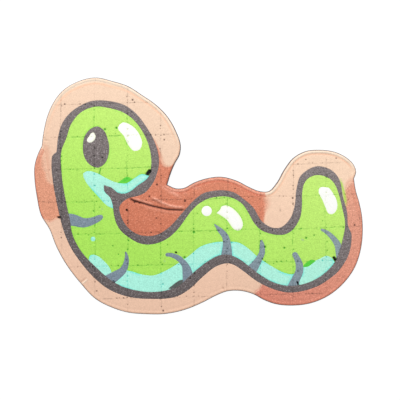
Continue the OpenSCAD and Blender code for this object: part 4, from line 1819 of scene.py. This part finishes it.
@dataclass(frozen=True)
class SoftPlastic(Finish):
    """Matt soft plastic with filler grain, the mould's grid and the marks that its mesh carries.

    Attributes:
        tint: Its own colour at the dark end of the painted light slope, towards the bottom and the head.
        thin: Its colour at the light end of the painted light slope, towards the top and the tail.
        edge_shade_tint: Painted shade along its edge, where it meets its neighbours; a paler edge for the
            dark green pours.
        seam: Strength of that edge colour.
        deep: Colour inside pits and on the grid's dots.
        fold: Painted shade in the sewing channel along the upper edges, and beside the lip of the lower
            edges.
        crest: Painted highlight on the rim's crest along the upper edges, and on ridges and lips; also the
            colour of pale smears.
        neighbour: Colour that runs in at a soft edge.
        grain: Strength of the grain.
        fleck: Share of pale specks.
        fleck_tint: Colour of the pale specks.
        mottle: Strength of the slow tone.
        grid: Strength of the grid.
        grid_width: Half width of the grid's lines, in metres.
        rough: Roughness.
        gloss: Level of the mirror reflection.
        texture: Height of the grain, in metres.
        grain_scale: Scale of the grain.
        mottle_scale: Scale of the slow tone.
        black: Colour inside gaps: partly the dark base layer below, partly painted shade.
        stain: Colour that has run onto the border.
        grey: Colour of the grey specks.
    """

    tint: Colour = (0.8, 0.8, 0.8)
    thin: Colour = (0.8, 0.8, 0.8)
    edge_shade_tint: Colour = (0.5, 0.5, 0.5)
    seam: float = 0.0
    deep: Colour = (0.1, 0.1, 0.1)
    fold: Colour = (0.8, 0.8, 0.8)
    crest: Colour = (0.8, 0.8, 0.8)
    neighbour: Colour = (0.8, 0.8, 0.8)
    grain: float = 0.1
    fleck: float = 0.0
    fleck_tint: Colour = (0.4, 0.38, 0.38)
    mottle: float = 0.05
    grid: float = 0.4
    grid_width: float = 0.00026
    rough: float = 0.62
    gloss: float = 0.25
    texture: float = 0.00003
    grain_scale: float = 2600.0
    mottle_scale: float = 120.0

    black: ClassVar[Colour] = (0.004, 0.004, 0.004)
    stain: ClassVar[Colour] = (0.44, 0.70, 0.10)
    grey: ClassVar[Colour] = (0.33, 0.38, 0.38)

    def dress(self, tree: Tree, shader: bpy.types.Node) -> None:
        """Layers the marks and shared effects over the plastic's own colour.

        Args:
            tree: The material's tree.
            shader: Its Principled shader.
        """
        place = tree.add("ShaderNodeTexCoord").outputs["Object"]
        grain = GRAIN.place(tree, Vector=place, Scale=self.grain_scale)
        cloud = MOTTLE.place(tree, Vector=place, Scale=self.mottle_scale)
        first = (MOULD_GRID.first_x * MM, MOULD_GRID.first_y * MM, 0.0)
        step = (MOULD_GRID.step_x * MM, MOULD_GRID.step_y * MM, 1.0)
        line = DOTTED_GRID.place(
            tree, Vector=place, First=first, Step=step, Lean=MOULD_GRID.lean, Width=self.grid_width
        )["Line"]
        # Painted light: the colour grows lighter towards the top of the patch and the tail
        colour = PAINTED_LIGHT_SLOPE.place(tree, Vector=place, Thick=(*self.tint, 1), Thin=(*self.thin, 1))["Colour"]
        # Painted shade along the edge, patchy with the slow tone
        painted_shade = tree.math("MULTIPLY", self.mark(tree, Mark.SEAM), tree.ramp(cloud["Value"], -0.1, 0.25))
        colour = tree.mix(tree.math("MULTIPLY", painted_shade, self.seam), colour, self.edge_shade_tint)
        colour = tree.mix(self.mark(tree, Mark.BLEND), colour, self.neighbour)
        # Painted shade in the rim's channel and beside its lower lip, then painted highlight on its crest
        # and on ridges
        colour = tree.mix(self.mark(tree, Mark.RIM_SHADE), colour, self.fold)
        colour = tree.mix(self.mark(tree, Mark.HIGHLIGHT_AND_SMEAR), colour, self.crest)
        colour = tree.mix(self.mark(tree, Mark.STAIN), colour, self.stain)
        colour = tree.mix(self.mark(tree, Mark.FLECK), colour, self.grey)
        colour = tree.mix(tree.math("MULTIPLY", grain["Fleck"], self.fleck), colour, self.fleck_tint)
        colour = TONED.place(
            tree, Colour=colour, Grain=grain["Value"], Mottle=cloud["Value"],
            Grain_Strength=self.grain, Mottle_Strength=self.mottle,
        )["Colour"]
        colour = tree.mix(tree.math("MULTIPLY", line, self.grid), colour, self.deep)
        # Dark pits, and painted shade in the grooves of folds and nicks
        colour = tree.mix(self.mark(tree, Mark.PIT), colour, self.deep)
        # Black in gaps: partly the dark base layer below, partly painted shade
        colour = tree.mix(self.mark(tree, Mark.VOID), colour, self.black)
        tree.tree.links.new(colour, shader.inputs["Base Color"])
        tree.tree.links.new(
            tree.ramp(grain["Height"], 0.3, 0.7, self.rough + 0.08, self.rough - 0.08),
            shader.inputs["Roughness"],
        )
        shader.inputs["Specular IOR Level"].default_value = self.gloss
        height = tree.math("SUBTRACT", grain["Height"], tree.math("MULTIPLY", line, 0.8))
        self.bump(tree, shader, height, self.texture, 0.7)

    @staticmethod
    def mark(tree: Tree, mark: Mark) -> bpy.types.NodeSocket:
        """Reads one of the values that the mesh carries."""
        return tree.add("ShaderNodeAttribute", {"attribute_name": mark.value}).outputs["Fac"]


@dataclass(frozen=True)
class BackPlastic(Finish):
    """The base layer's plastic, smooth with a fine moulded texture.

    Attributes:
        tint: Its colour.
        rough: Roughness.
    """

    tint: Colour = (0.3, 0.25, 0.22)
    rough: float = 0.55

    def dress(self, tree: Tree, shader: bpy.types.Node) -> None:
        """Adds grain and mottling to the plastic.

        Args:
            tree: The material's tree.
            shader: Its Principled shader.
        """
        grain, _ = self.uneven(tree, shader, self.tint, (1800.0, 90.0), (0.16, 0.12))
        rough = tree.ramp(grain["Height"], 0.3, 0.7, self.rough + 0.1, self.rough - 0.1)
        tree.tree.links.new(rough, shader.inputs["Roughness"])
        self.bump(tree, shader, grain["Height"], 0.00006, 0.8)


@dataclass(frozen=True)
class WovenNylon(Finish):
    """Woven tape: threads over and under, darker between them.

    Attributes:
        tint: Colour of the threads.
        gap: Colour between them.
        thread: Distance between threads, in metres.
    """

    tint: Colour = (0.06, 0.062, 0.068)
    gap: Colour = (0.012, 0.012, 0.014)
    thread: float = 0.00042

    def dress(self, tree: Tree, shader: bpy.types.Node) -> None:
        """Crosses two sets of threads and shades them by height.

        Args:
            tree: The material's tree.
            shader: Its Principled shader.
        """
        place = tree.add("ShaderNodeTexCoord").outputs["Object"]
        grain = GRAIN.place(tree, Vector=place, Scale=5200.0)
        turns = math.tau / self.thread
        both = tree.add("ShaderNodeSeparateXYZ", i0=tree.vector("MULTIPLY", place, (turns,) * 3)).outputs
        weft = tree.math("ABSOLUTE", tree.math("SINE", tree.math("MULTIPLY", both["Y"], 0.5)))
        over = tree.math("SINE", tree.math("MULTIPLY", both["X"], 0.5))
        row = tree.math("SINE", tree.math("MULTIPLY", both["Y"], 0.25))
        check = tree.math("MULTIPLY", over, tree.math("SIGN", row))
        height = tree.math("MULTIPLY", weft, tree.ramp(check, -1.0, 0.7, 0.35, 1.0))
        fuzz = tree.math("MULTIPLY_ADD", grain["Value"], 0.12, height)
        colour = tree.mix(tree.ramp(fuzz, 0.1, 0.8), self.gap, self.tint)
        tree.tree.links.new(colour, shader.inputs["Base Color"])
        tree.tree.links.new(tree.ramp(height, 0.0, 1.0, 0.85, 0.5), shader.inputs["Roughness"])
        self.bump(tree, shader, fuzz, 0.00012, 0.9)


@dataclass(frozen=True)
class HookNylon(Finish):
    """Stiff smooth nylon wire of the hooks.

    Attributes:
        tint: Its colour.
    """

    tint: Colour = (0.075, 0.078, 0.085)

    def dress(self, tree: Tree, shader: bpy.types.Node) -> None:
        """Adds slight streaks and scuffs to the wire.

        Args:
            tree: The material's tree.
            shader: Its Principled shader.
        """
        grain, _ = self.uneven(tree, shader, self.tint, (3800.0, 400.0), (0.2, 0.3))
        tree.tree.links.new(tree.ramp(grain["Height"], 0.3, 0.7, 0.45, 0.25), shader.inputs["Roughness"])
        self.bump(tree, shader, grain["Height"], 0.00001, 0.4)


@dataclass(frozen=True)
class FilmGlue(Finish):
    """Clear-drying adhesive film, milky and slightly wavy.

    Attributes:
        tint: Its colour.
    """

    tint: Colour = (0.72, 0.68, 0.55)

    def dress(self, tree: Tree, shader: bpy.types.Node) -> None:
        """Clouds the film and gives it a low shine.

        Args:
            tree: The material's tree.
            shader: Its Principled shader.
        """
        _, cloud = self.uneven(tree, shader, self.tint, (900.0, 260.0), (0.08, 0.2))
        tree.tree.links.new(tree.ramp(cloud["Value"], -0.5, 0.5, 0.2, 0.4), shader.inputs["Roughness"])
        self.bump(tree, shader, cloud["Value"], 0.00005, 0.5)


# ---------- The patch ----------


@dataclass(frozen=True)
class Palette:
    """The patch's colours."""

    # Most colours come in two: one at the dark end and one at the light end of a painted light slope,
    # lighter towards the top and the tail; the head and tail peaches are light ends
    peach_shaded: Colour = (0.80, 0.523, 0.38)
    peach_head: Colour = (0.868, 0.646, 0.48)
    peach_tail: Colour = (0.91, 0.66, 0.485)
    # Painted shade in the peach rim's channel and painted highlight on its crest and ridges
    peach_rim_shade: Colour = (0.88, 0.54, 0.37)
    peach_rim_highlight: Colour = (0.90, 0.74, 0.585)
    peach_deep: Colour = (0.12, 0.06, 0.045)
    clay_shaded: Colour = (0.56, 0.156, 0.082)
    clay_lit: Colour = (0.75, 0.28, 0.17)
    nape_shaded: Colour = (0.70, 0.30, 0.185)
    nape_lit: Colour = (0.76, 0.36, 0.24)
    clay_tail_shaded: Colour = (0.65, 0.218, 0.15)
    clay_tail_lit: Colour = (0.76, 0.36, 0.247)
    # Painted shade in the terracotta rim's channel and painted highlight on its crest and ridges
    clay_rim_shade: Colour = (0.64, 0.18, 0.105)
    clay_rim_highlight: Colour = (0.82, 0.37, 0.26)
    clay_deep: Colour = (0.05, 0.02, 0.018)
    clay_dust: Colour = (0.85, 0.5, 0.38)
    ink_shaded: Colour = (0.124, 0.102, 0.102)
    ink_lit: Colour = (0.236, 0.2, 0.197)
    ink_deep: Colour = (0.01, 0.008, 0.008)
    green_shaded: Colour = (0.388, 0.747, 0.098)
    green_lit: Colour = (0.569, 0.846, 0.187)
    green_deep: Colour = (0.0, 0.29, 0.0)
    # Painted shade along the green pour's edges
    green_edge_shade: Colour = (0.20, 0.66, 0.04)
    blue_shaded: Colour = (0.395, 0.85, 0.705)
    blue_lit: Colour = (0.46, 0.838, 0.666)
    blue_deep: Colour = (0.0, 0.48, 0.42)
    # Painted shade along the pale blue pours' edges
    blue_edge_shade: Colour = (0.17, 0.78, 0.68)
    slate_shaded: Colour = (0.19, 0.25, 0.308)
    slate_lit: Colour = (0.29, 0.373, 0.368)
    slate_deep: Colour = (0.03, 0.04, 0.05)
    cream: Colour = (0.95, 0.95, 0.92)
    cream_deep: Colour = (0.62, 0.70, 0.35)
    # Painted shade along the cream pours' edges
    cream_edge_shade: Colour = (0.86, 0.90, 0.62)
    shade: Colour = (0.10, 0.62, 0.045)
    shade_seam: Colour = (0.28, 0.70, 0.07)
    sliver: Colour = (0.09, 0.105, 0.098)
    base: Colour = (0.13, 0.108, 0.104)


@dataclass
class WormPatch:
    """The whole patch: its face of pours, and its base, tape and hooks.

    Attributes:
        palette: The colours.
        relief: The face's relief.
    """

    palette: Palette = field(default_factory=Palette)
    relief: Relief = field(default_factory=lambda: Relief(Rim(), MOULD_GRID))

    def borders(self) -> list[Pour]:
        """Returns the border's stretches.

        Returns:
            One pour for each.
        """
        p = self.palette
        peach = {
            "tint": p.peach_shaded, "deep": p.peach_deep, "fold": p.peach_rim_shade, "crest": p.peach_rim_highlight,
            "grain": 0.15, "grid": 0.3,
        }
        clay = {
            "deep": p.clay_deep, "fold": p.clay_rim_shade, "crest": p.clay_rim_highlight,
            "grain": 0.4, "grid": 0.4, "fleck": 0.3, "fleck_tint": p.clay_dust,
        }
        rows = (
            ("border_head", "peach", SoftPlastic(
                "peach_head", thin=p.peach_head, neighbour=p.nape_shaded, **peach)),
            ("border_belly", "peach", SoftPlastic(
                "peach_belly", thin=p.peach_tail, neighbour=p.clay_tail_shaded, **peach)),
            ("border_tail_cap", "peach", SoftPlastic(
                "peach_tail", thin=p.peach_tail, neighbour=p.clay_tail_lit, **peach)),
            ("border_nape", "terracotta", SoftPlastic(
                "clay_nape", tint=p.nape_shaded, thin=p.nape_lit, neighbour=p.peach_head, **clay)),
            ("border_tail_side", "terracotta", SoftPlastic(
                "clay_tail", tint=p.clay_tail_shaded, thin=p.clay_tail_lit, neighbour=p.peach_tail, **clay)),
            ("border_neck", "terracotta", SoftPlastic(
                "clay_neck", tint=p.clay_shaded, thin=p.clay_lit, neighbour=p.peach_tail, **clay)),
        )
        return [Pour((name,), slot, finish, self.relief, border=True) for name, slot, finish in rows]

    def figure(self) -> list[Pour]:
        """Returns the pours that draw the worm.

        Returns:
            One pour for each.
        """
        p = self.palette
        ink = SoftPlastic(
            "ink_plastic", tint=p.ink_shaded, thin=p.ink_lit, deep=p.ink_deep,
            grain=0.7, fleck=0.55, grid=0.5, mottle=0.08,
        )
        green = SoftPlastic(
            "green_plastic", tint=p.green_shaded, thin=p.green_lit, deep=p.green_deep,
            edge_shade_tint=p.green_edge_shade, seam=0.4, grain=0.24, grid=0.5, mottle=0.05,
        )
        blue = SoftPlastic(
            "pale_blue_plastic", tint=p.blue_shaded, thin=p.blue_lit, deep=p.blue_deep,
            edge_shade_tint=p.blue_edge_shade, seam=0.9, grain=0.24, grid=0.42,
        )
        slate = SoftPlastic(
            "slate_plastic", tint=p.slate_shaded, thin=p.slate_lit, deep=p.slate_deep,
            grain=0.5, fleck=0.2, grid=0.4,
        )
        cream = SoftPlastic(
            "cream_plastic", tint=p.cream, thin=p.cream, deep=p.cream_deep,
            edge_shade_tint=p.cream_edge_shade, seam=0.6, grain=0.03, grid=0.22, mottle=0.01,
        )
        shade = SoftPlastic(
            "dark_green_plastic", tint=p.shade, thin=p.shade, deep=p.green_deep,
            edge_shade_tint=p.shade_seam, seam=0.8, grain=0.24, grid=0.3,
        )
        sliver = SoftPlastic(
            "dark_slate_plastic", tint=p.sliver, thin=p.sliver, deep=p.slate_deep, grain=0.5, grid=0.3,
        )
        made = [
            Pour(("ink_outline",), "ink", ink, self.relief, crown=0.07, crown_reach=1.1),
            Pour(("eye_pupil",), "ink", ink, self.relief, crown=0.08, crown_reach=1.8),
            Pour(("green_body",), "green", green, self.relief),
            Pour(("jaw_pour",), "pale_blue", blue, self.relief, crown=0.04, crown_reach=1.2),
            Pour(("chest_pour",), "pale_blue", blue, self.relief),
            Pour(("neck_spot",), "pale_blue", blue, self.relief),
            Pour(("belly_sliver",), "dark_slate", sliver, self.relief),
            Pour(("jaw_shade",), "dark_green", shade, self.relief),
            Pour(("tail_shade",), "dark_green", shade, self.relief),
            Pour(("eye_glint",), "cream", cream, self.relief, crown=0.05, crown_reach=0.6),
            Pour(("back_dot",), "cream", cream, self.relief, crown=0.06, crown_reach=0.8),
        ]
        for name in ("head_highlight", "back_highlight", "tail_highlight"):
            made.append(Pour((name,), "cream", cream, self.relief, crown=0.06, crown_reach=1.0))
        for number in range(1, 6):
            made.append(Pour((f"belly_panel_{number}",), "pale_blue", blue, self.relief))
        for number in range(1, 8):
            name = f"stripe_{number}"
            made.append(Pour((name,), "slate", slate, self.relief, crown=0.03, crown_reach=0.8))
        return made

    def backing(self) -> list[Finished]:
        """Returns what is behind the face: the base layer, the tape and its hooks.

        Returns:
            The pieces to build.
        """
        return [
            BaseLayer(("base_layer",), "base", BackPlastic("base_plastic", tint=self.palette.base)),
            HookTape(("hook_tape",), "tape", WovenNylon("woven_tape")),
            HookField(("hook_field",), "hooks", HookNylon("hook_wire")),
        ]

    def build(self) -> None:
        """Builds and dresses every piece of the patch."""
        for piece in (*self.borders(), *self.figure(), *self.backing()):
            piece.build()
        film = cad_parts["adhesive_film"]
        film.data.materials.clear()
        film.data.materials.append(FilmGlue("film_glue").material())
        LOG.info("adhesive_film: kept as it is, with its own finish")


# ---------- The studio ----------


@dataclass(frozen=True)
class FloorPaint(Finish):
    """Pale floor that stays bright under the object.

    Attributes:
        tint: Its colour.
        glow: How brightly it shines by itself.
    """

    tint: Colour = (0.1, 0.1, 0.1)
    glow: float = 0.95

    def dress(self, tree: Tree, shader: bpy.types.Node) -> None:
        """Adds a barely uneven tone to the floor.

        Args:
            tree: The material's tree.
            shader: Its Principled shader.
        """
        place = tree.add("ShaderNodeTexCoord").outputs["Object"]
        cloud = MOTTLE.place(tree, Vector=place, Scale=3.0)
        colour = TONED.place(
            tree, Colour=(*self.tint, 1), Grain=0.0, Mottle=cloud["Value"],
            Grain_Strength=0.0, Mottle_Strength=0.02,
        )["Colour"]
        tree.tree.links.new(colour, shader.inputs["Base Color"])
        shader.inputs["Roughness"].default_value = 0.9
        shader.inputs["Emission Color"].default_value = (1.0, 1.0, 1.0, 1.0)
        shader.inputs["Emission Strength"].default_value = self.glow

    def surface(self, tree: Tree, shader: bpy.types.Node) -> bpy.types.NodeSocket:
        """Leaves the floor clear from below, so that the back of the patch can be seen through it.

        Args:
            tree: The material's tree.
            shader: Its Principled shader.

        Returns:
            The mix of the paint and nothing.
        """
        clear = tree.add("ShaderNodeBsdfTransparent").outputs[0]
        below = tree.add("ShaderNodeNewGeometry").outputs["Backfacing"]
        return tree.add("ShaderNodeMixShader", i0=below, i1=shader.outputs[0], i2=clear).outputs[0]


@dataclass
class Studio:
    """A plain pale floor, a soft sky, one wide soft lamp, and a camera looking straight down.

    Attributes:
        floor_side: Side of the floor, in metres.
        floor_gap: Gap between the hooks and the floor, in millimetres.
        sky: Strength of the light from all round.
        lamp_power: Power of the soft lamp, in watts.
        lamp_side: Side of the lamp.
        lamp_place: Where the lamp is.
        lens: The camera's lens, in millimetres.
        sensor: The width of its sensor.
        view_width: Width of what the camera sees at the face, in millimetres.
        view_centre: The middle of what it sees.
    """

    floor_side: float = 4.0
    floor_gap: float = 0.02
    sky: float = 0.6
    lamp_power: float = 1.75
    lamp_side: float = 0.32
    lamp_place: tuple[float, float, float] = (-0.05, 0.34, 0.36)
    lens: float = 100.0
    sensor: float = 36.0
    view_width: float = 121.4
    view_centre: Point = (0.455, -1.27)

    def build(self) -> None:
        """Builds the floor, the lights, the camera and the view."""
        self.floor()
        self.lights()
        self.camera()
        view = bpy.context.scene.view_settings
        view.view_transform = "Standard"
        view.look = "None"
        view.exposure = 0.0
        view.gamma = 1.0

    def floor(self) -> None:
        """Lays the floor just under the patch."""
        half = self.floor_side / 2 / MM
        count = 9
        line = np.linspace(-half, half, count)
        spots = np.stack(np.meshgrid(line, line), 2).reshape(-1, 2)
        corners = np.column_stack([spots, np.full(len(spots), LEVELS.hooks_bottom - self.floor_gap)])
        faces = [
            (a, a + 1, a + 1 + count, a + count)
            for row in range(count - 1)
            for a in range(row * count, row * count + count - 1)
        ]
        piece = new_piece("studio_floor", corners, faces)
        piece.data.materials.append(FloorPaint("pale_floor").material())

    def lights(self) -> None:
        """Lights the patch from all round and, more strongly, from above its upper edge."""
        world = bpy.data.worlds.new("studio_sky")
        world.use_nodes = True
        back = world.node_tree.nodes["Background"]
        back.inputs["Color"].default_value = (1.0, 1.0, 1.0, 1.0)
        back.inputs["Strength"].default_value = self.sky
        bpy.context.scene.world = world
        lamp = bpy.data.lights.new("soft_lamp", "AREA")
        lamp.shape = "SQUARE"
        lamp.size = self.lamp_side
        lamp.energy = self.lamp_power
        holder = bpy.data.objects.new("soft_lamp", lamp)
        holder.location = self.lamp_place
        aim = -Vector(self.lamp_place)
        holder.rotation_mode = "QUATERNION"
        holder.rotation_quaternion = aim.to_track_quat("-Z", "Y")
        bpy.context.scene.collection.objects.link(holder)

    def camera(self) -> None:
        """Sets the camera straight over the patch."""
        lens = bpy.data.cameras.new("camera")
        lens.lens = self.lens
        lens.sensor_width = self.sensor
        lens.clip_start = 0.01
        lens.clip_end = 20.0
        holder = bpy.data.objects.new("camera", lens)
        away = self.view_width * self.lens / self.sensor
        x, y = self.view_centre
        holder.location = Vector((x, y, LEVELS.face + away)) * MM
        bpy.context.scene.collection.objects.link(holder)
        bpy.context.scene.camera = holder


def main() -> None:
    """Builds the studio and the patch."""
    logging.basicConfig(level=logging.INFO, format="%(name)s: %(message)s")
    Studio().build()
    WormPatch().build()


if __name__ == "__main__":
    main()
